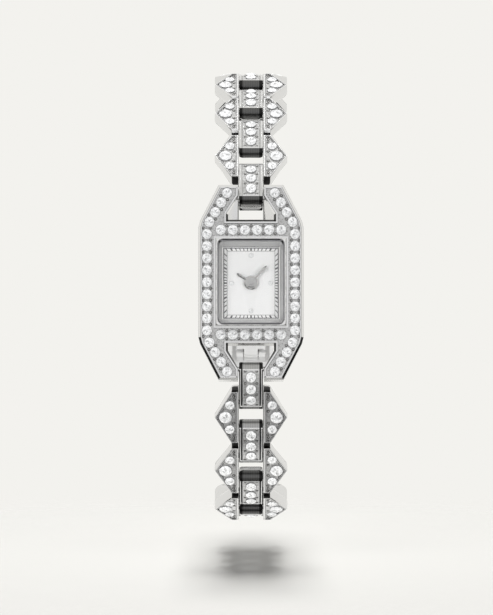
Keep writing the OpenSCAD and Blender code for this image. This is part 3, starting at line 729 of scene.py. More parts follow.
def bead_pattern():
    """A little dome of metal, pushed up against the edge of a stone."""
    mesh = bmesh.new()
    bmesh.ops.create_icosphere(mesh, subdivisions=1, radius=0.5)
    return new_pattern("bead_pattern", mesh, degrees=180)


def pit_pattern():
    """A shallow disc, painted dark as the shade of the graver's cut under a bead."""
    mesh = bmesh.new()
    bmesh.ops.create_cone(mesh, cap_ends=True, segments=10, radius1=0.5, radius2=0.46,
                          depth=0.06)
    return new_pattern("pit_pattern", mesh)


BEAD = bead_pattern()
PIT_DISC = pit_pattern()


def beads_in_pits(seats, seed):
    """Beads, and under them the wider discs of painted shade."""
    beads = seat_copies(seats, [BEAD], LINK_POLISH, seed)
    wide = [(place, PIT_SHARE * size, turn) for place, size, turn in seats]
    return beads, seat_copies(wide, [PIT_DISC], PIT_PAINTED_SHADE, seed)


print("faces in a bead:", len(BEAD.data.polygons))

# %% [markdown]
# The bracelet hangs from the case in two chains. Every joint of the working
# model lies on a hinge pin, so the pins' places give each link its own frame:
# the first pin is its origin, the next pin lies along its Y, and its Z points
# away from the wrist. A link is modelled once, in millimetres, in that frame.

# %% Frames of the links
JOINTS = {joint["name"]: joint for joint in frame["joints"]}


def hinge(name):
    """The place of a body's hinge pin."""
    return Vector(JOINTS[name + "_hinge"]["pos_m"])


def chain_pins(side):
    """The hinge pins of a chain, from the lug to the clasp."""
    names = [f"{side}_{kind}_{k}" for k in range(1, PAIRS + 1)
             for kind in ("centre", "wings")]
    if side == "top":
        last = hinge("clasp_inner_blade")
    else:
        low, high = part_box("spring_bar")
        last = (low + high) / 2
    return [hinge(name) for name in names] + [last]


def link_frame(side, index):
    """The matrix that takes a link from its own frame to its place."""
    here, there = PINS[side][index:index + 2]
    along = (there - here).normalized()
    outwards = Vector((1, 0, 0)).cross(along)
    if side == "bottom":
        outwards = -outwards
    across = along.cross(outwards)
    turn = Matrix((across, along, outwards)).transposed().to_4x4()
    return Matrix.Translation(here) @ turn @ Matrix.Scale(MM, 4)


PINS = {side: chain_pins(side) for side in SIDES}
LINK_PINS = (PINS["top"][1] - PINS["top"][0]).length / MM
WING_PINS = (PINS["top"][2] - PINS["top"][1]).length / MM
print("pin to pin, in mm:", round(LINK_PINS, 3), round(WING_PINS, 3))

# %% [markdown]
# A centre link is a bar with round ends and an arched face. Its face is a tray
# for three stones between two narrow rails. Outside each rail runs a deep groove
# with a thin rim beyond it. Between two stones a strip of painted shade crosses
# the tray where the graver cut it, too thin to need any depth. Both ends are satin
# with flutes and painted dark as shade, and their corners are round on the wrist's
# side. The surface is a grid: one row for each point round the link's side outline,
# and one column for each step across it. A grid keeps all the grooves parallel,
# and no solid has to be cut.

# %% Sizes of the centre link
LINK_W = 3.4
LINK_END = 1.0
LINK_ARCH = 9.0
FACE_OVER = 0.33
CORNER_FROM = 10
CORNER_IN = 0.42
LINK_SINK = 0.16
RAIL_SINK = 0.10
RIM_OUT = 1.57
RIM_IN = 1.44
GROOVE_IN = 1.20
GROOVE_DEEP = 0.24
GROOVE_WALL = 0.05
RAIL_IN = 1.14
EDGE = 0.08
FLUTES = 12
FLUTE_DEEP = 0.012
STEP = 0.015
CUT_W = 0.07
LINK_PITCH = 1.8
# Rows across the lip at each end of the tray, and the steps between the lips
LIPS = (0.0, 0.05, 0.11, 0.11 + STEP)
ARCH_STEPS = 9
# Turns of the rows round an end, in degrees, and the part of them that is fluted
END_TURNS = (66, 50, 35, 20, 0, -20, -40, -60, -78)
FLUTED_BETWEEN = (-60, 66)
ARCH_DROP = math.sqrt(LINK_ARCH ** 2 - (LINK_PINS / 2 + FACE_OVER) ** 2) - LINK_END
print("the arch stands this far over the link's ends, in mm:",
      round(LINK_ARCH - ARCH_DROP - LINK_END, 3))

# %% [markdown]
# The rows go round the link's side: over the face, round one end, along the
# wrist's side and round the other end. The columns go across. A row's kind and a
# column's place decide together how far the surface lies below the outline.

# %% Rows and columns of the link's grid
def face_rows():
    """Rows over the arched face: place, outward normal and kind."""
    middle = LINK_PINS / 2
    reach = middle + FACE_OVER
    start = reach - LIPS[-1]
    spots = [-reach + lip for lip in LIPS]
    spots += [-start + 2 * start * k / ARCH_STEPS for k in range(1, ARCH_STEPS)]
    spots += [reach - lip for lip in reversed(LIPS)]
    cuts = [side * LINK_PITCH / 2 + edge for side in (-1, 1)
            for edge in (-CUT_W / 2, CUT_W / 2)]
    spots = sorted(spots + cuts)
    rows = []
    for k, spot in enumerate(spots):
        tray = len(LIPS) - 1 <= k <= len(spots) - len(LIPS)
        normal = Vector((0, spot, math.sqrt(LINK_ARCH ** 2 - spot ** 2))) / LINK_ARCH
        place = Vector((0, middle, -ARCH_DROP)) + normal * LINK_ARCH
        rows.append((place, normal, "cut" if spot in cuts else "tray" if tray else "rail"))
    return rows


def end_rows(centre, sign):
    """Rows round one end, from the face to the wrist's side."""
    rows = []
    for degrees in END_TURNS:
        angle = math.radians(degrees)
        fluted_row = FLUTED_BETWEEN[0] < degrees < FLUTED_BETWEEN[1]
        normal = Vector((0, sign * math.cos(angle), math.sin(angle)))
        rows.append((Vector((0, centre, 0)) + normal * LINK_END, normal,
                     "end" if fluted_row else "under"))
    return rows


def link_rows():
    """All rows, once round the link."""
    under = [(Vector((0, y, -LINK_END)), Vector((0, 0, -1)), "under")
             for y in (LINK_PINS, LINK_PINS / 2, 0.0)]
    return face_rows() + end_rows(LINK_PINS, 1) + under + end_rows(0.0, -1)[::-1]


def link_columns():
    """Steps across the link, from one side to the other."""
    half = LINK_W / 2
    steps = [half, half - 0.03, RIM_OUT, RIM_IN, RIM_IN - GROOVE_WALL,
             GROOVE_IN + GROOVE_WALL, GROOVE_IN, RAIL_IN, RAIL_IN - STEP]
    inner = [RAIL_IN - STEP - RAIL_IN / FLUTES * k for k in range(1, 2 * FLUTES)]
    inner = [x for x in inner if x > -RAIL_IN + 2 * STEP]
    return [-x for x in steps] + sorted(inner) + list(reversed(steps))


def link_inset(x, kind, flute):
    """How far the surface lies below the outline, across a row of a kind."""
    x = abs(x)
    edge = max(0.0, x - (LINK_W / 2 - EDGE)) / EDGE
    bevel = EDGE * (1 - math.sqrt(max(0.0, 1 - edge ** 2)))
    if kind in ("tray", "cut", "rail") and GROOVE_IN < x < RIM_IN:
        return GROOVE_DEEP
    if kind in ("tray", "cut") and x <= GROOVE_IN:
        return LINK_SINK if x < RAIL_IN else RAIL_SINK
    if kind == "end":
        return bevel + (FLUTE_DEEP if flute else 0.0)
    return bevel


def corner_scale(normal):
    """Narrows the wrist side of both ends, so that their corners are round."""
    turned = -CORNER_FROM - math.degrees(math.asin(min(1.0, max(-1.0, normal.z))))
    if turned <= 0:
        return 1.0
    return 1.0 - CORNER_IN * math.sin(math.radians(2 * turned)) ** 2 / (LINK_W / 2)


print("rows and columns of a link:", len(link_rows()), len(link_columns()))

# %% [markdown]
# Each face of the grid gets its finish from the two rows and the place across
# that it lies between: cut metal in the tray, satin on the rails and the rims,
# painted shade in a dark metal on the steep flanks of the grooves, flutes painted
# dark as shade on the ends, and polish elsewhere.

# %% Build the centre link once
LINK_FINISHES = [LINK_POLISH, FIELD, END_PAINTED_SHADE, LINK_POLISH, RAIL_SATIN, PAINTED_SHADE_METAL, PIT_PAINTED_SHADE]
POLISH, TRAY, END_WALL, GROOVE, RAIL, FLANK, CUT = range(7)


def link_finish(kinds, x):
    """Which finish a face of the link gets, from its rows and its place across."""
    if "end" in kinds:
        return END_WALL if x < GROOVE_IN else FLANK
    if "under" in kinds:
        return POLISH
    if RIM_IN - GROOVE_WALL < x < RIM_IN or GROOVE_IN < x < GROOVE_IN + GROOVE_WALL:
        return FLANK
    if GROOVE_IN < x < RIM_IN or x > RIM_OUT:
        return GROOVE
    if x > RAIL_IN - STEP / 2 or "rail" in kinds:
        return RAIL
    return CUT if kinds == {"cut"} else TRAY


def centre_metal():
    """The metal of a centre link, in its own frame."""
    rows, columns = link_rows(), link_columns()
    mesh = bmesh.new()
    grid = []
    for place, normal, kind in rows:
        line = []
        for k, x in enumerate(columns):
            point = place - normal * link_inset(x, kind, k % 2 and abs(x) < RAIL_IN)
            line.append(mesh.verts.new((x * corner_scale(normal), point.y, point.z)))
        grid.append(line)
    for r, line in enumerate(grid):
        after = grid[(r + 1) % len(grid)]
        kinds = {rows[r][2], rows[(r + 1) % len(grid)][2]}
        for c in range(len(columns) - 1):
            face = mesh.faces.new((line[c], line[c + 1], after[c + 1], after[c]))
            face.material_index = link_finish(kinds, abs(columns[c] + columns[c + 1]) / 2)
    mesh.faces.new([line[0] for line in grid])
    mesh.faces.new([line[-1] for line in reversed(grid)])
    return new_piece("centre_pattern", mesh, LINK_FINISHES, 35)


CENTRE_METAL = centre_metal()
print("faces in a centre link:", len(CENTRE_METAL.data.polygons))

# %% [markdown]
# The three stones of a link follow its arch, so each seat leans as the face
# does. Beads stand in pairs beside the gaps and at both ends of the tray.

# %% Seats on the centre link
STONE_D = 1.5
LINK_STONE_D = 1.6
STONE_SIT = 0.06
BEAD_SIT = 0.02
BEAD_D = 0.26
BEAD_SIDE = 0.84
BEADS_ALONG = (-1.48, -0.5, 0.5, 1.48)


def on_arch(along, drop):
    """A seat on the arched face: its place and its turn."""
    lean = math.asin(along / LINK_ARCH)
    radius = LINK_ARCH - drop
    return ((0.0, LINK_PINS / 2 + radius * math.sin(lean),
             radius * math.cos(lean) - ARCH_DROP), (-lean, 0.0, 0.0))


def centre_seats():
    """Three stones down the tray."""
    return [(place, LINK_STONE_D, turn) for place, turn in
            (on_arch(k * LINK_PITCH, LINK_SINK - STONE_SIT) for k in (-1, 0, 1))]


def centre_beads():
    """Beads beside the gaps between the stones, and at the tray's ends."""
    seats = []
    for along in BEADS_ALONG:
        (x, y, z), turn = on_arch(along * LINK_PITCH, LINK_SINK - BEAD_SIT)
        seats += [((side * BEAD_SIDE, y, z), BEAD_D, turn) for side in (-1, 1)]
    return seats


print("stones and beads on a link:", len(centre_seats()), len(centre_beads()))

# %% [markdown]
# A wing is a thick three-cornered plate. It has a broad rail along its inner
# edge, and two thin rims with a groove between them along its slanted edges. The
# floor for its three stones is sunk. On the wrist's side its outer edges are well
# rounded. Seen from the face it is a stack of outlines whose edges move in by
# different amounts, so the stack helper makes it, rims and groove included.

# %% The wing's outlines
WING_IN = 1.77
WING_LEN = 8.3
WING_REACH = 5.2
WING_END = 1.0
WING_T = 2.2
WING_SINK = 0.15
WING_CORNER = 0.05
UNDER_ROUND = 1.0
UNDER_TURNS = (20, 40, 60, 75, 90)
# How much of the rounding the narrow ends and the inner edge get
END_ROUND, INNER_ROUND = 0.3, 0.12
WING_CORNERS = [
    (WING_IN, (WING_PINS - WING_LEN) / 2),
    (WING_IN + WING_END, (WING_PINS - WING_LEN) / 2),
    (WING_REACH, WING_PINS / 2),
    (WING_IN + WING_END, (WING_PINS + WING_LEN) / 2),
    (WING_IN, (WING_PINS + WING_LEN) / 2)]
# From the walls up: how far the ends, the slanted edges and the inner edge move in,
# and the height over the face. Two rims, with a groove between them, come before
# the step down to the floor.
WING_TOP = [
    (0.00, 0.00, 0.00, -0.58), (0.00, 0.00, 0.00, -0.30), (0.10, 0.02, 0.02, -0.03),
    (0.12, 0.04, 0.05, 0.00), (0.22, 0.17, 0.30, 0.00), (0.24, 0.185, 0.315, -0.06),
    (0.28, 0.23, 0.35, -0.06), (0.30, 0.245, 0.365, -0.01), (0.36, 0.31, 0.42, -0.01),
    (0.38, 0.33, 0.435, -WING_SINK)]


def wing_level(end, slant, inner, z):
    """One outline of the wing, at a height."""
    outline = inset_outline(WING_CORNERS, (end, slant, slant, end, inner))
    return [Vector((p.x, p.y, z)) for p in round_outline(outline, WING_CORNER, 2)]


def wing_levels():
    """All outlines of a wing, from the wrist side to the face."""
    levels = []
    for degrees in UNDER_TURNS:
        angle = math.radians(degrees)
        inset = UNDER_ROUND * (1 - math.sin(angle))
        z = UNDER_ROUND * (1 - math.cos(angle)) - WING_T / 2
        levels.append(wing_level(END_ROUND * inset, inset, INNER_ROUND * inset, z))
    for end, slant, inner, drop in WING_TOP:
        levels.append(wing_level(end, slant, inner, WING_T / 2 + drop))
    return levels


print("outlines in a wing:", len(wing_levels()))

# %% [markdown]
# The left wing mirrors the right one, and both sit on the same pressed pins, so
# they are one mesh. Their inner edges, the groove between the rims and the step
# down to the floor are painted shade in a dark metal. At each narrow end, the upper
# part is painted light in pale satin, and the lower part is painted shade.

# %% Build the pair of wings once
PIN_D = 0.7
PIN_DEPTH = 0.95
WING_FINISHES = [LINK_POLISH, FIELD, END_PAINTED_LIGHT, PIN_STEEL, PAINTED_SHADE_METAL, RAIL_SATIN]
WING_POLISH, WING_FLOOR, WING_TIP, WING_PIN, WING_PAINTED_SHADE, WING_RIM = range(6)
WALLS = len(UNDER_TURNS) + 1
RIM_TOPS = (WALLS + 2, WALLS + 6)
GROOVES = (WALLS + 3, WALLS + 4, WALLS + 5, WALLS + 7)
FLOOR_LEVEL = len(UNDER_TURNS) + len(WING_TOP) - 1
TIP_EDGES = (0, 3)
INNER_EDGE = 4


def wing_finish(level, k):
    """Floor, ends, inner edge, groove and rims each have their own metal, with painted light and
    painted shade among them.
    """
    # A corner has three points, so every third face is a straight edge
    edge = (k + 1) // 3 - 1 if (k + 1) % 3 == 0 else None
    if level >= FLOOR_LEVEL:
        return WING_FLOOR
    # Painted light on the upper part of each narrow end, and painted shade on its lower part,
    # the inner edge and the groove
    if level <= WALLS and edge in TIP_EDGES:
        return WING_TIP if level >= WALLS - 1 else WING_PAINTED_SHADE
    if level <= WALLS and edge == INNER_EDGE or level in GROOVES:
        return WING_PAINTED_SHADE
    return WING_RIM if level in RIM_TOPS else WING_POLISH


def cylinder_x(mesh, radius, width, y, index, sides=20):
    """A pin along X with a small bevel at each end."""
    bevel = min(0.1, radius / 3)
    levels = [(-width / 2, radius - bevel), (-width / 2 + bevel, radius),
              (width / 2 - bevel, radius), (width / 2, radius - bevel)]
    rings = [[Vector((x, y + r * math.cos(math.tau * k / sides),
                      r * math.sin(math.tau * k / sides)))
              for k in range(sides)] for x, r in levels]
    add_stack(mesh, rings, finish=lambda level, k: index)


def wing_metal(name, pins):
    """A left and a right wing and the pins that join them."""
    levels = wing_levels()
    mesh = bmesh.new()
    add_stack(mesh, levels, finish=wing_finish)
    mirrored = [[Vector((-p.x, p.y, p.z)) for p in level] for level in levels]
    add_stack(mesh, mirrored, finish=wing_finish)
    for y in pins:
        cylinder_x(mesh, PIN_D / 2, 2 * (WING_IN + PIN_DEPTH), y, WING_PIN)
    return new_piece(name, mesh, WING_FINISHES, 35)


WING_METAL = wing_metal("wing_pattern", (0.0, WING_PINS))
LAST_WING_METAL = wing_metal("last_wing_pattern", (0.0,))
print("faces in a pair of wings:", len(WING_METAL.data.polygons))

# %% [markdown]
# Each wing holds a large stone in its outer corner and a smaller one towards
# each end. Beads stand round them and run on in a line towards the narrow ends.
# Their places follow no simple rule, so they are a short list for half a wing.

# %% Seats on the wings
LARGE_D, SMALL_D = 1.95, 1.45
LARGE_X = 3.65
SMALL_X, SMALL_Y = 3.03, 1.93
FLOOR_Z = WING_T / 2 - WING_SINK
# Beads on one half of a wing: across, along from its middle, and width
WING_BEADS = [(2.45, 0.95, 0.30), (4.12, 1.20, 0.26), (2.42, 2.82, 0.28),
              (3.10, 2.86, 0.22), (2.48, 3.27, 0.26), (2.40, 3.66, 0.22)]


def both_wings(spots, sit):
    """Seats on the right wing, repeated on the left one."""
    return [((side * x, WING_PINS / 2 + y, FLOOR_Z + sit), width, FLAT)
            for x, y, width in spots for side in (1, -1)]


def wing_seats():
    """One large and two small stones on each wing."""
    return both_wings([(LARGE_X, 0, LARGE_D), (SMALL_X, SMALL_Y, SMALL_D),
                       (SMALL_X, -SMALL_Y, SMALL_D)], STONE_SIT)


def wing_beads():
    """Beads round the stones and in a line towards each narrow end."""
    return both_wings([(x, s * y, width) for s in (-1, 1) for x, y, width in WING_BEADS],
                      BEAD_SIT)


print("stones and beads on a pair of wings:", len(wing_seats()), len(wing_beads()))

# %% [markdown]
# Every link of the bracelet is a copy of one of three meshes, turned into its
# place by its own frame. The stones get another seed on each link, so that no
# two links sparkle alike. The links below the case lean away from the lamps, and
# what faces downwards there is dark: the grooves and outer bevels of the centre
# links and the ends of the wings get painted shade in a darker metal, and so do
# the ends of the first wings above the case. A few links below the case catch
# some light, and are listed by name with paler finishes that are painted light.

# %% Lay out the whole bracelet
def place_copy(name, source, matrix, body, slot, stands_for=None, finishes=None):
    """A copy of a mesh, put in its place, with some finishes exchanged."""
    mesh = source.copy()
    mesh.name = name
    for index, material in (finishes or {}).items():
        mesh.materials[index] = material
    mesh.transform(matrix)
    if matrix.determinant() < 0:
        mesh.flip_normals()
    piece = bpy.data.objects.new(name, mesh)
    bpy.context.scene.collection.objects.link(piece)
    return fit(piece, body, slot, stands_for)


# Painted shade for the links below the case, and painted light for the few that catch some
SHADED = {"centre": {GROOVE: PAINTED_SHADE_METAL}, "wings": {WING_TIP: PAINTED_SHADE_METAL}}
LIT_CENTRE = {GROOVE: PAINTED_SHADE_METAL, END_WALL: END_LIT}
LIT = {"bottom_centre_1": LIT_CENTRE, "bottom_centre_2": LIT_CENTRE,
       "bottom_wings_3": {WING_FLOOR: FIELD_PAINTED_LIGHT, WING_TIP: PAINTED_SHADE_METAL}}


def dress_link(side, index, metal, seats, beads, seed):
    """Metal, stones and beads of one link, which stand for its plain solid."""
    kind = "centre" if index % 2 == 0 else "wings"
    name = f"{side}_{kind}_{index // 2 + 1}"
    matrix = link_frame(side, index)
    shaded = SHADED[kind] if side == "bottom" or name == "top_wings_1" else None
    place_copy(name + "_metal", metal.data, matrix, name, "link_metal", name,
               LIT.get(name, shaded))
    place_copy(name + "_stones", seat_copies(seats, CUTS, STONE, seed), matrix, name, "stones")
    for label, grains in zip(("_beads", "_pits"), beads_in_pits(beads, seed)):
        place_copy(name + label, grains, matrix, name, "link_metal")


for side_number, side in enumerate(SIDES):
    for pair in range(PAIRS):
        seed = 100 * side_number + pair
        dress_link(side, 2 * pair, CENTRE_METAL, centre_seats(), centre_beads(), seed)
        last = side == "bottom" and pair == PAIRS - 1
        wings = LAST_WING_METAL if last else WING_METAL
        dress_link(side, 2 * pair + 1, wings, wing_seats(), wing_beads(), 50 + seed)
for pattern in (CENTRE_METAL, WING_METAL, LAST_WING_METAL):
    bpy.data.objects.remove(pattern)
print("links dressed:", 2 * 2 * PAIRS)

# %% [markdown]
# On the case the stones lie in one plane and face the viewer. Their places
# follow the case's own sizes: a column down each side, a row above and below
# the dial, and a line out along each lug. Points on an outline drawn by hand
# would drift from the case as soon as one size changed.

# %% Seats on the case
CASE_W, CASE_LEN = size_of("case_frame").x, size_of("case_frame").z
CASE_T = height_of("case_frame")
SHOULDER_W, SHOULDER_LEN, LUG_TIP_W = 14.5, 17.7, 9.2
RIM_W = 0.5
CASE_PITCH = 1.73
CASE_STONE_D = 1.56
COLUMN_X = CASE_W / 2 - RIM_W - STONE_D / 2 + 0.05
BEZEL_W, BEZEL_LEN = size_of("bezel").x, size_of("bezel").z
WINDOW_AT = 8.75
ROW_Y = (BEZEL_LEN / 2 + WINDOW_AT) / 2
FIELD_H = CASE_T - 0.25
COLUMN_N, ROW_N, LUG_N = 9, 6, 4
FIRST_IN, LAST_IN = Vector((1.29, 0.19)), Vector((1.19, 1.15))
LUG_FIRST = Vector((SHOULDER_W, SHOULDER_LEN)) / 2 - FIRST_IN
LUG_LAST = Vector((LUG_TIP_W, CASE_LEN)) / 2 - LAST_IN
COLUMN_BEAD, ROW_BEAD = 0.56, 0.58
CASE_BEAD_D = 0.28
# Facing the viewer: a seat drawn with its height along Z turns to face -Y
TO_FRONT = Matrix.Rotation(math.radians(90), 4, "X") @ Matrix.Scale(MM, 4)


def on_all_lugs(points):
    """Spots on one lug, mirrored onto all four."""
    return [(sx * p.x, sy * p.y) for sx in (-1, 1) for sy in (-1, 1) for p in points]


def case_spots():
    """The middles of all the stones on the case."""
    columns = [(s * COLUMN_X, (k - (COLUMN_N - 1) / 2) * CASE_PITCH)
               for s in (-1, 1) for k in range(COLUMN_N)]
    rows = [((k - (ROW_N - 1) / 2) * CASE_PITCH, s * ROW_Y)
            for s in (-1, 1) for k in range(ROW_N)]
    lug = [LUG_FIRST.lerp(LUG_LAST, k / (LUG_N - 1)) for k in range(LUG_N)]
    return columns + rows + on_all_lugs(lug)


def case_bead_spots():
    """Beads at both sides of each gap between two stones."""
    spots = []
    for s in (-1, 1):
        for k in range(COLUMN_N + 1):
            y = (k - COLUMN_N / 2) * CASE_PITCH
            spots += [(s * COLUMN_X + d, y) for d in (-COLUMN_BEAD, COLUMN_BEAD)]
        for k in range(ROW_N - 1):
            x = (k + 1 - ROW_N / 2) * CASE_PITCH
            spots += [(x, s * ROW_Y + d) for d in (-ROW_BEAD, ROW_BEAD)]
    along = (LUG_LAST - LUG_FIRST).normalized()
    side = Vector((along.y, -along.x))
    for k in range(LUG_N - 1):
        middle = LUG_FIRST.lerp(LUG_LAST, (k + 0.5) / (LUG_N - 1))
        for d in (-ROW_BEAD, ROW_BEAD):
            spots += on_all_lugs([middle + side * d])
    return spots


print("stones on the case:", len(case_spots()))

# %% [markdown]
# The seating tree that set the links sets the case too, with the same two cuts
# of stone. Only the direction differs: the seats are drawn lying flat, and one
# matrix turns them all to the front.

# %% Set the case
def set_stones(name, spots, width, height, material, seed, stands_for):
    """Stones in flat seats, turned to the front, which stand for plain ones."""
    seats = [((x, y, height), width, FLAT) for x, y in spots]
    place_copy(name, seat_copies(seats, CUTS, material, seed), TO_FRONT, "root", "stones",
               stands_for)


set_stones("case_stones_cut", case_spots(), CASE_STONE_D, FIELD_H + STONE_SIT, STONE, 7,
           "case_stones")
bead_seats = [((x, y, FIELD_H + BEAD_SIT), CASE_BEAD_D, FLAT) for x, y in case_bead_spots()]
for label, grains in zip(("case_beads", "case_pits"), beads_in_pits(bead_seats, 8)):
    place_copy(label, grains, TO_FRONT, "root", "case_metal")
print("beads on the case:", len(bead_seats))

# %% [markdown]
# The bezel is a rectangle outside and has round corners inside, where the glass
# sits. Outside and inside are two stacks of outlines that share one flat rim.
# Its walls are thinner at the two ends than along the sides. The ring inside it
# slopes down to the dial in satin, and ends in a bright foot.

# %% Sizes round the dial
BEZEL_TOP = height_of("bezel")
BEZEL_WALL = 0.28
BEZEL_END_WALL = 0.17
WELL_W, WELL_LEN = BEZEL_W - 2 * BEZEL_WALL, BEZEL_LEN - 2 * BEZEL_END_WALL
WELL_CORNER = 0.85
DIAL_TOP = height_of("dial")
VIEW_W, VIEW_LEN = 8.1, 10.34
OVER_DIAL = 0.02


def round_level(width, length, corner, z, steps=6):
    """A rectangular outline with round corners, at a height."""
    points = round_outline(rectangle(width, length), corner, steps)
    return [Vector((p.x, p.y, z)) for p in points]


def add_ring(mesh, levels, finish=None):
    """A closed ring whose section runs through all the levels and back."""
    loops = add_stack(mesh, levels, (False, False), finish)
    count = len(loops[0])
    for k in range(count):
        mesh.faces.new((loops[0][k], loops[-1][k], loops[-1][(k + 1) % count],
                        loops[0][(k + 1) % count]))


def front_piece(name, mesh, materials, slot, stands_for=None, body="root", degrees=28,
                merge=0.0):
    """Makes a piece of a mesh drawn lying flat, and turns it to the front."""
    piece = new_piece(name, mesh, materials, degrees, merge)
    piece.data.transform(TO_FRONT)
    return fit(piece, body, slot, stands_for)


print("the well inside the bezel, in mm:", round(WELL_W, 2), round(WELL_LEN, 2))

# %% [markdown]
# All three pieces round the dial are lists of sections for the stack helper. A
# section says how far in it lies, the radius of its corners and its height. The
# bezel's inner wall is painted shade in a dark metal, because it faces the dark well.

# %% Bezel, sloped ring and glass
def make_bezel():
    """Outer wall, rounded rim and an inner wall painted dark as shade."""
    sections = [
        (0.0, 0.1, DIAL_TOP + OVER_DIAL), (0.0, 0.1, CASE_T), (0.02, 0.1, CASE_T + 0.35),
        (0.06, 0.14, BEZEL_TOP - 0.14), (0.14, 0.2, BEZEL_TOP - 0.02),
        (0.17, 0.24, BEZEL_TOP), (BEZEL_WALL - 0.06, 0.8, BEZEL_TOP),
        (BEZEL_WALL - 0.02, WELL_CORNER, BEZEL_TOP - 0.05),
        (BEZEL_WALL, WELL_CORNER, BEZEL_TOP - 0.1),
        (BEZEL_WALL, WELL_CORNER, DIAL_TOP + OVER_DIAL)]
    thin = BEZEL_END_WALL / BEZEL_WALL
    mesh = bmesh.new()
    # Painted shade: the inner wall, the last level but one, gets the dark metal
    add_ring(mesh, [round_level(BEZEL_W - 2 * inset, BEZEL_LEN - 2 * inset * thin, corner, z)
                    for inset, corner, z in sections],
             lambda level, k: 1 if level == len(sections) - 2 else 0)
    front_piece("bezel_frame", mesh, [CASE_POLISH, PAINTED_SHADE_METAL], "bright_metal", "bezel")


def make_sloped_ring():
    """A satin slope from the well down to the dial, with a bright foot."""
    foot, gap, lip = 0.07, 0.2, 0.1
    high, low = BEZEL_TOP - 0.95, DIAL_TOP + OVER_DIAL
    width, length = WELL_W - gap, WELL_LEN - gap
    levels = [(width, length, WELL_CORNER, low), (width, length, WELL_CORNER, high),
              (width - lip, length - lip, 0.8, high + 0.03),
              (VIEW_W + 2 * foot, VIEW_LEN + 2 * foot, 0.04, low + 0.14),
              (VIEW_W, VIEW_LEN, 0.02, low + 0.1), (VIEW_W, VIEW_LEN, 0.02, low)]
    mesh = bmesh.new()
    add_ring(mesh, [round_level(*level) for level in levels],
             lambda level, k: 1 if level >= 3 else 0)
    front_piece("dial_slope", mesh, [RING_SATIN, CASE_POLISH], "ring_metal", "dial_ring")


def make_glass():
    """A flat glass with a bevelled edge and round corners."""
    width, length = size_of("crystal").x, size_of("crystal").z
    bevel, corner = 0.2, WELL_CORNER - 0.12
    levels = [(width, length, corner, BEZEL_TOP - 0.88),
              (width, length, corner, BEZEL_TOP - bevel),
              (width - 2 * bevel, length - 2 * bevel, corner - bevel, BEZEL_TOP - 0.01)]
    mesh = bmesh.new()
    add_stack(mesh, [round_level(*level) for level in levels])
    front_piece("crystal_plate", mesh, [GLASS], "glass", "crystal")


make_bezel()
make_sloped_ring()
make_glass()
print("bezel, ring and glass made")

# %% [markdown]
# The openings between the lugs have bevelled walls. A bevel shows as a thin
# dark or light line, so each opening gets a lining: a three-sided strip that
# follows the opening's outline and slopes inwards as it goes down. Its faces
# that turn from the light are painted shade in a dark metal, which differs above
# and below the case, and the others are polished. The case's own mesh can't be
# changed, and a strip laid into it looks the same.

# %% Window linings
WINDOW_W = 7.1
WINDOW_SIDE = 1.1
WINDOW_SLANT = 2.6
CHANNEL_W = 3.72
LINING = 0.28
LINING_TOP = 0.04
LINING_DEEP = 0.7
SLANT_IN = 0.25


def window_path(inset):
    """Half of the opening's outline, from its middle out to the channel."""
    half = WINDOW_W / 2
    slant_at = WINDOW_AT + WINDOW_SIDE
    corners = [(0, WINDOW_AT + inset), (half - inset, WINDOW_AT + inset),
               (half - inset, slant_at - SLANT_IN * inset),
               (CHANNEL_W / 2 + SLANT_IN * inset, slant_at + WINDOW_SLANT - inset)]
    return [Vector(p) for p in corners]


def window_lining(name, up):
    """The strip round one opening, left and right. Up is 1 above and -1 below."""
    mesh = bmesh.new()
    for side in (1, -1):
        rows = [[mesh.verts.new((side * p.x, up * p.y, z)) for p, z in (
            (a, CASE_T - LINING_TOP), (b, CASE_T - LINING_DEEP), (a, CASE_T - LINING_DEEP))]
            for a, b in zip(window_path(0.0), window_path(LINING))]
        for k, (here, there) in enumerate(zip(rows, rows[1:])):
            # Painted shade: the faces that turn from the light, which differ above and below,
            # get the dark metal
            dark = k == 1 or (k == 2 and up < 0) or (k == 0 and up > 0)
            for j in range(3):
                face = mesh.faces.new((here[j], here[(j + 1) % 3],
                                       there[(j + 1) % 3], there[j]))
                face.material_index = int(dark)
        mesh.faces.new(rows[-1])
    front_piece(name, mesh, [CASE_POLISH, PAINTED_SHADE_METAL], "case_metal", merge=0.0001)


window_lining("upper_opening_lining", 1)
window_lining("lower_opening_lining", -1)
print("linings:", 2)

# %% [markdown]
# A narrow polished rim runs round each opening and out along the lugs, between
# the stones and the edge. Its outline is the opening's own path, moved sideways
# with mitred corners, and six such paths at different heights make its section.
# Its wall down to the stones' field is painted shade in a dark metal.

# %% Rims along the lugs
LUG_RIM_W = 0.32
RIM_BEVEL = 0.05
RIM_FOOT = 0.1
RIM_CLEAR = 0.01
TIP_GAP = 0.3


def moved_path(points, distance):
    """An open path moved sideways, with its corners mitred."""
    ways = [(b - a).normalized() for a, b in zip(points, points[1:])]
    moved = []
    for k, here in enumerate(points):
        sides = [Vector((way.y, -way.x)) for way in ways[max(k - 1, 0):k + 1]]
        middle = sum(sides, Vector((0, 0))).normalized()
        moved.append(here + middle * distance / middle.dot(sides[0]))
    return moved


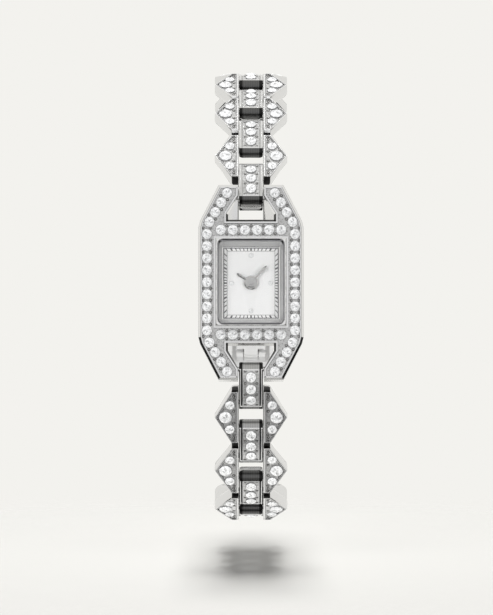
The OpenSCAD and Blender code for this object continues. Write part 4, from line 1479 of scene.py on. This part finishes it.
def lug_rim(name, up):
    """A flat rim with bevelled edges round an opening, out to the lugs' tips, with its wall down
    to the field painted dark as shade.
    """
    base = window_path(0.0) + [Vector((CHANNEL_W / 2, CASE_LEN / 2 - TIP_GAP))]
    sections = [(RIM_CLEAR, FIELD_H - RIM_FOOT), (RIM_CLEAR, CASE_T - RIM_BEVEL),
                (RIM_BEVEL, CASE_T), (LUG_RIM_W - RIM_BEVEL, CASE_T), (LUG_RIM_W, FIELD_H),
                (LUG_RIM_W, FIELD_H - RIM_FOOT)]
    mesh = bmesh.new()
    for side in (1, -1):
        lines = [[mesh.verts.new((side * p.x, up * p.y, z)) for p in moved_path(base, inset)]
                 for inset, z in sections]
        for j, (a, b) in enumerate(zip(lines, lines[1:] + lines[:1])):
            for k in range(len(base) - 1):
                face = mesh.faces.new((a[k], a[k + 1], b[k + 1], b[k]))
                # Painted shade: the wall down to the field gets the dark metal
                face.material_index = int(j == 3)
        mesh.faces.new([line[-1] for line in lines])
    front_piece(name, mesh, [CASE_POLISH, PAINTED_SHADE_METAL], "case_metal", degrees=20, merge=0.0001)


lug_rim("upper_lug_rim", 1)
lug_rim("lower_lug_rim", -1)
print("rims, each this wide in mm:", LUG_RIM_W)

# %% [markdown]
# The case's outer edge is bevelled, and the inner and the outer end of the bevel
# show as fine dark lines, down both sides from tip to tip. These lines are
# painted shade. Cut lines would need changes to the case's own mesh, so a
# hair-thin strip of darker metal just proud of the surface draws each one, and
# reads as the same line from any side.

# %% Painted shade lines on the case's rim
CASE_STRAIGHT = 15.8
CASE_BEVEL = 0.3
LINE_DEEP = 0.05


def case_outline():
    """The case's outline seen from the front, anticlockwise."""
    right = [(LUG_TIP_W / 2, -CASE_LEN / 2), (SHOULDER_W / 2, -SHOULDER_LEN / 2),
             (CASE_W / 2, -CASE_STRAIGHT / 2), (CASE_W / 2, CASE_STRAIGHT / 2),
             (SHOULDER_W / 2, SHOULDER_LEN / 2), (LUG_TIP_W / 2, CASE_LEN / 2)]
    return right + [(-x, y) for x, y in reversed(right)]


def rim_line(name, inset, width, top):
    """A thin line of painted shade just inside the outline, along both sides from tip to tip."""
    mesh = bmesh.new()
    outer = inset_outline(case_outline(), (inset,))
    inner = inset_outline(case_outline(), (inset + width,))
    side = len(outer) // 2
    for first in (0, side):
        rows = [[mesh.verts.new((p.x, p.y, z)) for p, z in (
            (outer[k], top), (inner[k], top),
            (inner[k], top - LINE_DEEP), (outer[k], top - LINE_DEEP))]
            for k in range(first, first + side)]
        for here, there in zip(rows, rows[1:]):
            for j in range(4):
                mesh.faces.new((here[j], here[(j + 1) % 4], there[(j + 1) % 4], there[j]))
        mesh.faces.new(rows[0])
        mesh.faces.new(rows[-1])
    front_piece(name, mesh, [PAINTED_BEVEL_LINE], "case_metal")


rim_line("case_rim_inner_line", CASE_BEVEL, 0.06, CASE_T + 0.004)
rim_line("case_rim_outer_line", 0.0, 0.05, CASE_T - CASE_BEVEL + 0.02)
print("points round the case's outline:", len(case_outline()))

# %% [markdown]
# The case keeps its working shape, and only its finish differs from place to
# place. Each face is sorted by its height and its slope: the sunk field under
# the stones is cut metal, the steep walls round it are painted shade in a dark
# metal, and all the rest is polished. Sorting faces needs no seams.

# %% Finish the case by face
CLOSE = 0.01
FACING, STEEP = 0.9, 0.5
FIELD_WALL = 0.5
WALLS_WITHIN = SHOULDER_W / 2 - RIM_W + 0.3


def case_finish(face):
    """0 for polish, 1 for the field under the stones, 2 for the painted shade on the walls round
    it.
    """
    height, tilt = -face.center.y / MM, abs(face.normal.y)
    if abs(height - FIELD_H) < CLOSE and tilt > FACING:
        return 1
    wall = FIELD_H - FIELD_WALL < height < CASE_T - CLOSE and tilt < STEEP
    return 2 if wall and abs(face.center.x) / MM < WALLS_WITHIN else 0


case_data = frame["nodes"]["case_frame"].data
case_data.materials.clear()
for material in (CASE_POLISH, CASE_FIELD, PAINTED_SHADE_METAL):
    case_data.materials.append(material)
for face in case_data.polygons:
    face.material_index = case_finish(face)
kinds = [face.material_index for face in case_data.polygons]
print("case faces polished, cut and dark:", [kinds.count(k) for k in range(3)])

# %% [markdown]
# A printed minute track runs round the dial between two fine lines. Each of its
# sixty ticks points at the middle, and every fifth is bolder. Where a ray from
# the middle meets a rectangle follows from its angle, so a node tree can work
# out each tick's place, length and turn from its number alone.

# %% The minute track tree
TRACK_OUT = (7.78, 10.06)
TRACK_IN = (6.92, 9.26)
TICKS = 60
TICK_W, BOLD_W = 0.13, 0.1
PRINT_T = 0.012


def ray_length(tree, sine, cosine, width, height):
    """The distance from the middle to a rectangle, along a ray."""
    reaches = []
    for size, part in ((width, sine), (height, cosine)):
        steep = math_node(tree, "MAXIMUM", math_node(tree, "ABSOLUTE", part), 0.001)
        half = math_node(tree, "DIVIDE", size, 2.0)
        reaches.append(math_node(tree, "DIVIDE", half, steep))
    return math_node(tree, "MINIMUM", *reaches)


def track_tree():
    """Ticks between two rectangles, each pointing at the middle."""
    tree, source, result = new_tree(
        "Geometry", "Minute track",
        [("Carrier", "Geometry"), ("Outer width", "Float", 8.0), ("Outer height", "Float", 10.0),
         ("Inner width", "Float", 7.0), ("Inner height", "Float", 9.0),
         ("Tick", "Float", 0.1), ("Bold", "Float", 0.1), ("Thick", "Float", 0.01),
         ("Ticks", "Int", 60), ("Material", "Material")],
        [("Track", "Geometry")])
    given = source.outputs
    index = add_node(tree, "GeometryNodeInputIndex").outputs[0]
    step = math_node(tree, "DIVIDE", math.tau, given["Ticks"])
    angle = math_node(tree, "MULTIPLY", index, step)
    sine, cosine = math_node(tree, "SINE", angle), math_node(tree, "COSINE", angle)
    outer, inner = [ray_length(tree, sine, cosine, given[edge + " width"],
                               given[edge + " height"]) for edge in ("Outer", "Inner")]
    middle = math_node(tree, "MULTIPLY", math_node(tree, "ADD", outer, inner), 0.5)
    fifth = math_node(tree, "LESS_THAN", math_node(tree, "MODULO", index, 5.0), 0.5)
    place = add_node(tree, "ShaderNodeCombineXYZ", {
        "X": math_node(tree, "MULTIPLY", sine, middle),
        "Y": math_node(tree, "MULTIPLY", cosine, middle)})
    size = add_node(tree, "ShaderNodeCombineXYZ", {
        "X": math_node(tree, "MULTIPLY_ADD", fifth, given["Bold"], given["Tick"]),
        "Y": math_node(tree, "SUBTRACT", outer, inner), "Z": given["Thick"]})
    spin = add_node(tree, "ShaderNodeCombineXYZ", {
        "Z": math_node(tree, "MULTIPLY", angle, -1.0)})
    points = add_node(tree, "GeometryNodePoints", {
        "Count": given["Ticks"], "Position": place.outputs[0]})
    bar = add_node(tree, "GeometryNodeMeshCube")
    copies = add_node(tree, "GeometryNodeInstanceOnPoints", {
        "Points": points.outputs[0], "Instance": bar.outputs["Mesh"],
        "Rotation": spin.outputs[0], "Scale": size.outputs[0]})
    return end_tree(tree, result, copies, given["Material"])


TRACK = track_tree()
print("nodes in the track tree:", len(TRACK.nodes))

# %% [markdown]
# Print has almost no thickness. The ticks and the two lines are modelled a
# hundredth of a millimetre high, so that they belong to the dial from every
# side and need no picture laid over it. The inner line is paler than the outer.

# %% Print the dial
OUTER_LINE_W, INNER_LINE_W = 0.14, 0.1


def make_track():
    """Runs the tree and lays its ticks on the dial."""
    carrier = bpy.data.objects.new("carrier", bpy.data.meshes.new("carrier"))
    bpy.context.scene.collection.objects.link(carrier)
    made = run_tree(carrier, TRACK, {
        "Outer width": TRACK_OUT[0], "Outer height": TRACK_OUT[1],
        "Inner width": TRACK_IN[0], "Inner height": TRACK_IN[1],
        "Tick": TICK_W, "Bold": BOLD_W, "Thick": PRINT_T, "Ticks": TICKS, "Material": PRINT})
    lift = Matrix.Translation((0, 0, DIAL_TOP + PRINT_T / 2))
    place_copy("minute_ticks", made, TO_FRONT @ lift, "root", "dial_white")


def make_line(name, size, width, material):
    """A fine printed line round a rectangle."""
    mesh = bmesh.new()
    levels = [[(p.x, p.y, DIAL_TOP + z) for p in inset_outline(rectangle(*size), (inset,))]
              for inset, z in ((0, 0), (0, PRINT_T), (width, PRINT_T), (width, 0))]
    add_ring(mesh, levels)
    front_piece(name, mesh, [material], "dial_white", degrees=0)


make_track()
make_line("track_outer_line", [side + OUTER_LINE_W for side in TRACK_OUT], OUTER_LINE_W, PRINT)
make_line("track_inner_line", TRACK_IN, INNER_LINE_W, PRINT_PALE)
print("ticks printed:", TICKS)

# %% [markdown]
# The hands are slim leaves with a ridge down the middle, on round hubs that
# stack like plates. A leaf is a short strip of points whose width swells and
# then runs out to the tip. One slope of each leaf faces the dark, and so does a
# part of the large hub's edge. These faces get painted shade, a darker polish,
# which is simpler than a lamp and a card that light nothing else.

# %% Shapes of the hands
HAND_T = 0.16
HOUR_AT = DIAL_TOP + 0.32
MINUTE_AT = HOUR_AT + 0.3
HAND_W = 0.4
HAND_LEAST = 0.03
LEAF_EDGE = 0.05
LEAF_STEPS = 12
# Where a leaf is widest, along it, and its width at the middle of the dial
WIDEST, ROOT_SHARE = 0.78, 0.45
# The height of the ridge where the leaf has no width, as a share of its full height
RIDGE_SHARE = 0.55
HUB_D, MINUTE_HUB_D, CAP_D = 2.0, 1.44, 0.72
HUB_BEVEL = 0.2
# Parts of the hub's edge painted dark as shade, as shares of a turn
HUB_PAINTED_SHADE = ((0.50, 0.70), (0.78, 0.86))
PIPE_D, ARBOR_D, ARBOR_HOLE = 0.96, 0.5, 0.58
PIPE_FROM, ARBOR_FROM, CAP_T = 2.6, 2.1, 0.1


def add_disc(mesh, diameter, low, high, hole, dark=(), sides=40):
    """A round plate with a bevelled edge, and a hole if it has one. Parts of the edge can be
    painted dark as shade.
    """
    radius = diameter / 2
    drop = (high - low) / 2
    wide = min(HUB_BEVEL, 0.2 * radius)
    levels = [(radius, low), (radius, high - drop), (radius - wide / 2, high - drop / 2),
              (radius - wide, high)]
    edge = len(levels) - 1
    if hole:
        levels += [(hole / 2, high), (hole / 2, low), (radius, low)]
    rings = [[Vector((r * math.cos(math.tau * k / sides), r * math.sin(math.tau * k / sides), z))
              for k in range(sides)] for r, z in levels]

    def finish(level, k):
        return int(level < edge and any(a < (k + 0.5) / sides < b for a, b in dark))

    add_stack(mesh, rings, (not hole, not hole), finish)


def add_leaf(mesh, length, degrees, low, shaded):
    """A ridged leaf from the middle out to its tip, with one slope painted dark as shade."""
    turn = Matrix.Rotation(math.radians(degrees), 3, "Z")
    rows = []
    for k in range(LEAF_STEPS + 1):
        t = k / LEAF_STEPS
        swell = ROOT_SHARE + (1 - ROOT_SHARE) * t / WIDEST
        tip = 1 - max(0.0, (t - WIDEST) / (1 - WIDEST)) ** 2
        half = max(HAND_W / 2 * min(1.0, swell) * math.sqrt(tip), HAND_LEAST)
        high = low + HAND_T * (RIDGE_SHARE + (1 - RIDGE_SHARE) * half / (HAND_W / 2))
        section = [(-half, low), (half, low), (half, low + LEAF_EDGE), (0, high),
                   (-half, low + LEAF_EDGE)]
        rows.append([turn @ Vector((x, t * length, z)) for x, z in section])
    add_stack(mesh, rows, finish=lambda level, k: int(k == shaded))


print("heights of the two hands, in mm:", round(HOUR_AT, 2), round(MINUTE_AT, 2))

# %% [markdown]
# Each hand is one mesh with its hub and the pipe or arbor that carries it, so
# that it turns as one. The hour hand's hub is drilled for the minute arbor.

# %% The hands
HOUR_LEAF, HOUR_TURN = 2.4, 56.4
MINUTE_LEAF, MINUTE_TURN = 3.3, -42.6


def make_hand(name, length, degrees, low, discs, body, shaded):
    """A hand with its hubs, which stands for the plain one."""
    mesh = bmesh.new()
    add_leaf(mesh, length, degrees, low, shaded)
    for disc in discs:
        add_disc(mesh, *disc, HUB_PAINTED_SHADE if disc[0] == HUB_D else ())
    front_piece(name, mesh, [HAND_POLISH, HAND_SHADE], "hands", body, body, 25, 0.0001)


make_hand("hour_hand_leaf", HOUR_LEAF, HOUR_TURN, HOUR_AT, [
    (HUB_D, HOUR_AT, HOUR_AT + HAND_T, ARBOR_HOLE),
    (PIPE_D, PIPE_FROM, HOUR_AT, ARBOR_HOLE)], "hour_hand", 3)
make_hand("minute_hand_leaf", MINUTE_LEAF, MINUTE_TURN, MINUTE_AT, [
    (MINUTE_HUB_D, MINUTE_AT, MINUTE_AT + HAND_T, 0.0),
    (CAP_D, MINUTE_AT + HAND_T, MINUTE_AT + HAND_T + CAP_T, 0.0),
    (ARBOR_D, ARBOR_FROM, MINUTE_AT, 0.0)], "minute_hand", 4)
print("hands made")

# %% [markdown]
# Four small stones mark twelve, three, six and nine. They are cut like the rest,
# in a paler material that is painted light, for the white dial that shines
# through stones so small.

# %% Dial stones
MARKERS = [(0, 3.98), (2.78, 0), (0, -3.98), (-2.78, 0)]
MARKER_D = 0.68
set_stones("dial_stones_cut", MARKERS, MARKER_D, DIAL_TOP + OVER_DIAL, DIAL_STONE, 3,
           "dial_markers")
print("stones on the dial:", len(MARKERS))

# %% [markdown]
# The turned and milled parts have the right shape already, but their edges are
# knife sharp, and real edges catch a thin line of light. For those, a copy of
# the part has its loose triangles joined and its flat faces merged, and then a
# bevel runs along every sharp edge that is left. The copy stands for the part.

# %% Soften the edges of a part
SAME_PLACE = 0.001
# Angles between two faces, in degrees
MERGE_UNDER, SMOOTH_UNDER, BEVEL_OVER = 1.5, 20, 40


def soften(node, material, slot, width):
    """A bevelled copy of a part, with its finish."""
    source = frame["nodes"][node]
    mesh = bmesh.new()
    mesh.from_mesh(source.data)
    mesh.transform(Matrix.Scale(1 / MM, 4))
    bmesh.ops.remove_doubles(mesh, verts=mesh.verts, dist=SAME_PLACE)
    bmesh.ops.dissolve_limit(mesh, angle_limit=math.radians(MERGE_UNDER),
                             verts=mesh.verts, edges=mesh.edges)
    piece = new_piece(node + "_finished", mesh, [material], closed=False)
    bevel = piece.modifiers.new("Edges", "BEVEL")
    bevel.width = width
    bevel.segments = 2
    bevel.limit_method = "ANGLE"
    bevel.angle_limit = math.radians(BEVEL_OVER)
    bevel.use_clamp_overlap = True
    depsgraph = bpy.context.evaluated_depsgraph_get()
    made = bpy.data.meshes.new_from_object(piece.evaluated_get(depsgraph))
    piece.modifiers.clear()
    piece.data = made
    mesh = bmesh.new()
    mesh.from_mesh(made)
    smooth_up_to(mesh, SMOOTH_UNDER)
    mesh.to_mesh(made)
    mesh.free()
    made.transform(Matrix.Scale(MM, 4))
    return fit(piece, source["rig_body"], slot, node)


for node, material, slot, width in (
        ("clasp_cover", CLASP_BRUSHED, "clasp_metal", 0.12),
        ("clasp_long_blade", CLASP_BRUSHED, "clasp_metal", 0.08),
        ("clasp_inner_blade", CLASP_BRUSHED, "clasp_metal", 0.08),
        ("clasp_stud", PIN_STEEL, "steel", 0.06),
        ("spring_bar", PIN_STEEL, "steel", 0.04),
        ("case_back", BACK_BRUSHED, "bright_metal", 0.08),
        ("crown", BACK_BRUSHED, "crown_metal", 0.04)):
    made = soften(node, material, slot, width)
    print(node, "now has", len(made.data.polygons), "faces")

# %% [markdown]
# What is left is small, hidden or already right, such as the dial's plate, the
# seals, the movement and the pins. These parts stay as they are, and only take
# on a material.

# %% Finish the parts that keep their shape
FINISHES = {
    "dial": DIAL_WHITE, "crystal_gasket": SEAL, "movement_holder": HOLDER,
    "movement": BRASS, "motor_coil": COPPER, "battery": PIN_STEEL,
    "battery_strap": BRASS, "case_back_gasket": SEAL, "case_back_screws": PIN_STEEL,
    "setting_stem": PIN_STEEL, "lug_pins": PIN_STEEL, "blade_hinge_pin": PIN_STEEL,
    "cover_hinge_pin": PIN_STEEL}
for node, material in FINISHES.items():
    data = frame["nodes"][node].data
    data.materials.clear()
    data.materials.append(material)
print("parts that keep their shape:", len(FINISHES))

# %% [markdown]
# The watch hangs in the air in front of a pale ground, with only a soft shadow
# far below it. The ground is the world's own colour, seen by the camera and in
# the metal. A disc of floor catches the shadow and fades out towards its edge,
# so that no horizon shows. It tilts a little towards the camera, which looks
# slightly upwards.

# %% Floor
FLOOR_AT = Vector((0.0, 0.020, -0.0380))
FLOOR_TILT = math.radians(11)
FLOOR_R = 0.11
FADE_FROM, FADE_TO = 0.98, 0.4


def floor_material():
    """Pale and matt, fading out to nothing at the rim of the disc."""
    material, tree, shader, place = start_material(
        "Floor", Base_Color=(0.80, 0.793, 0.763, 1), Roughness=0.9)
    distance = add_node(tree, "ShaderNodeVectorMath", {0: place}, operation="LENGTH")
    fade = add_node(tree, "ShaderNodeMapRange", {
        "Value": distance.outputs["Value"], "From Min": FLOOR_R * FADE_FROM,
        "From Max": FLOOR_R * FADE_TO}, interpolation_type="SMOOTHSTEP")
    clear = tree.nodes.new("ShaderNodeBsdfTransparent")
    mix = add_node(tree, "ShaderNodeMixShader", {
        "Fac": fade.outputs["Result"], 1: clear.outputs[0], 2: shader.outputs[0]})
    feed(tree, tree.nodes["Material Output"], {"Surface": mix.outputs[0]})
    return material


def make_floor():
    """A disc that reflections don't show, and that throws no shadow itself."""
    mesh = bmesh.new()
    bmesh.ops.create_circle(mesh, cap_ends=True, segments=64, radius=FLOOR_R)
    floor = new_piece("floor", mesh, [floor_material()], closed=False)
    floor.location = FLOOR_AT
    floor.rotation_euler = (FLOOR_TILT, 0, 0)
    floor.visible_glossy = False
    floor.visible_shadow = False


make_floor()
print("floor below the watch, in mm:", round(-FLOOR_AT.z / MM, 1))

# %% [markdown]
# Polished metal shows its surroundings, so jewellery is lit with cards. A pale
# card faces the watch, and dark ones lie below it and low at both sides, which
# gives the metal its black edges. The camera looks through them, because only
# reflections see the cards. They see the ground too, but never the lamps. One
# long lamp above is narrow from side to side, so the shadow keeps its width, and
# deep from front to back, so the links don't print their pattern in it. Two lamps
# in front light the face, and one behind and below lights the inside of the links.

# %% Cards and lamps
MIDDLE = (0.0, 0.02, 0.0)


def aimed(piece, place, towards, axis):
    """Puts a piece in its place, with one of its axes towards a point."""
    bearing = Vector(towards) - Vector(place)
    piece.location = place
    piece.rotation_euler = bearing.to_track_quat(axis, "Y").to_euler()


def make_card(name, level, place, towards, size):
    """A card that only reflections see."""
    material, tree, shader, spot = start_material(name, Roughness=0.8)
    glow = add_node(tree, "ShaderNodeEmission", {"Color": (*grey(level), 1)})
    feed(tree, tree.nodes["Material Output"], {"Surface": glow.outputs[0]})
    mesh = bmesh.new()
    bmesh.ops.create_grid(mesh, x_segments=1, y_segments=1, size=0.5)
    card = new_piece(name, mesh, [material], closed=False)
    card.scale = (*size, 1)
    aimed(card, place, towards, "Z")
    card.visible_camera = False
    card.visible_diffuse = False
    card.visible_shadow = False
    card.visible_transmission = False


def make_lamp(name, power, place, towards, size):
    """A rectangular soft lamp that no reflection shows."""
    lamp = bpy.data.lights.new(name, "AREA")
    lamp.energy = power
    lamp.shape = "RECTANGLE"
    lamp.size, lamp.size_y = size
    holder = bpy.data.objects.new(name, lamp)
    bpy.context.scene.collection.objects.link(holder)
    aimed(holder, place, towards, "-Z")
    holder.visible_glossy = False


make_card("card_behind_camera", 0.85, (0.0, -0.50, 0.02), MIDDLE, (0.34, 0.34))
make_card("card_below", 0.02, (0.0, -0.19, -0.25), (0, -0.19, 0), (0.5, 0.32))
make_card("card_below_left", 0.015, (-0.5, -0.02, -0.28), (0, 0, 0), (0.5, 0.6))
make_card("card_below_right", 0.015, (0.5, -0.02, -0.28), (0, 0, 0), (0.5, 0.6))
make_lamp("lamp_above", 2.15, (0.0, 0.02, 0.40), (0, 0.02, 0), (0.07, 0.42))
make_lamp("lamp_left", 1.62, (-0.28, -0.42, -0.06), MIDDLE, (0.20, 0.30))
make_lamp("lamp_right", 1.12, (0.28, -0.42, -0.06), MIDDLE, (0.20, 0.30))
make_lamp("lamp_below", 1.1, (0.0, 0.27, -0.37), MIDDLE, (0.20, 0.10))
print("lamps:", len(bpy.data.lights))

# %% [markdown]
# A pale backdrop lit by lamps would shine back on the watch. The world gives the
# ground colour only to rays from the camera, and to those that metal and glass
# send out. All other rays get a faint, cool light, so the lamps alone shape the
# watch, and its colours come out as they are written.

# %% World
GROUND = (0.896, 0.888, 0.855)
SKY, SKY_STRENGTH = (0.95, 0.97, 1.0), 0.05


def make_world():
    """The camera, metal and glass see the ground colour. The light is softer."""
    world = bpy.data.worlds.new("Pale_ground")
    bpy.context.scene.world = world
    world.use_nodes = True
    tree = world.node_tree
    seen = tree.nodes["Background"]
    feed(tree, seen, {"Color": (*GROUND, 1), "Strength": 1.0})
    light = add_node(tree, "ShaderNodeBackground",
                     {"Color": (*SKY, 1), "Strength": SKY_STRENGTH})
    rays = tree.nodes.new("ShaderNodeLightPath").outputs
    direct = rays["Is Camera Ray"]
    for kind in ("Is Glossy Ray", "Is Transmission Ray"):
        direct = math_node(tree, "ADD", direct, rays[kind], clamp=True)
    mix = add_node(tree, "ShaderNodeMixShader",
                   {"Fac": direct, 1: light.outputs[0], 2: seen.outputs[0]})
    feed(tree, tree.nodes["World Output"], {"Surface": mix.outputs[0]})


make_world()
bpy.context.scene.view_settings.view_transform = "Standard"
print("ground colour:", GROUND)

# %% [markdown]
# The photograph was taken with a long lens from slightly below the dial's own
# line of sight. The lens is found from the size of the picture: seven of its
# pixels are a millimetre, and its middle lies a little below the dial's centre.

# %% Camera
IMAGE = (493, 615)
PIXELS_PER_MM = 7.0
ELEVATION = math.radians(-6)
DISTANCE = 3.0
DIAL_PIXEL = (251.0, 283.5)
DIAL_POINT = Vector((0, -0.003, 0))


def make_camera():
    """A long lens, aimed so that the dial lands on its own pixel."""
    camera = bpy.data.cameras.new("camera")
    holder = bpy.data.objects.new("camera", camera)
    bpy.context.scene.collection.objects.link(holder)
    back = Vector((0, -math.cos(ELEVATION), math.sin(ELEVATION)))
    turn = (-back).to_track_quat("-Z", "Y")
    pixel = MM / PIXELS_PER_MM
    aim = DIAL_POINT + turn @ Vector((IMAGE[0] / 2 - DIAL_PIXEL[0],
                                      DIAL_PIXEL[1] - IMAGE[1] / 2, 0)) * pixel
    holder.location = aim + back * DISTANCE
    holder.rotation_euler = turn.to_euler()
    camera.lens = camera.sensor_width * DISTANCE / (IMAGE[1] * pixel)
    camera.clip_start, camera.clip_end = 0.01, 10
    bpy.context.scene.camera = holder
    return camera.lens


print("lens in mm:", round(make_camera(), 1))
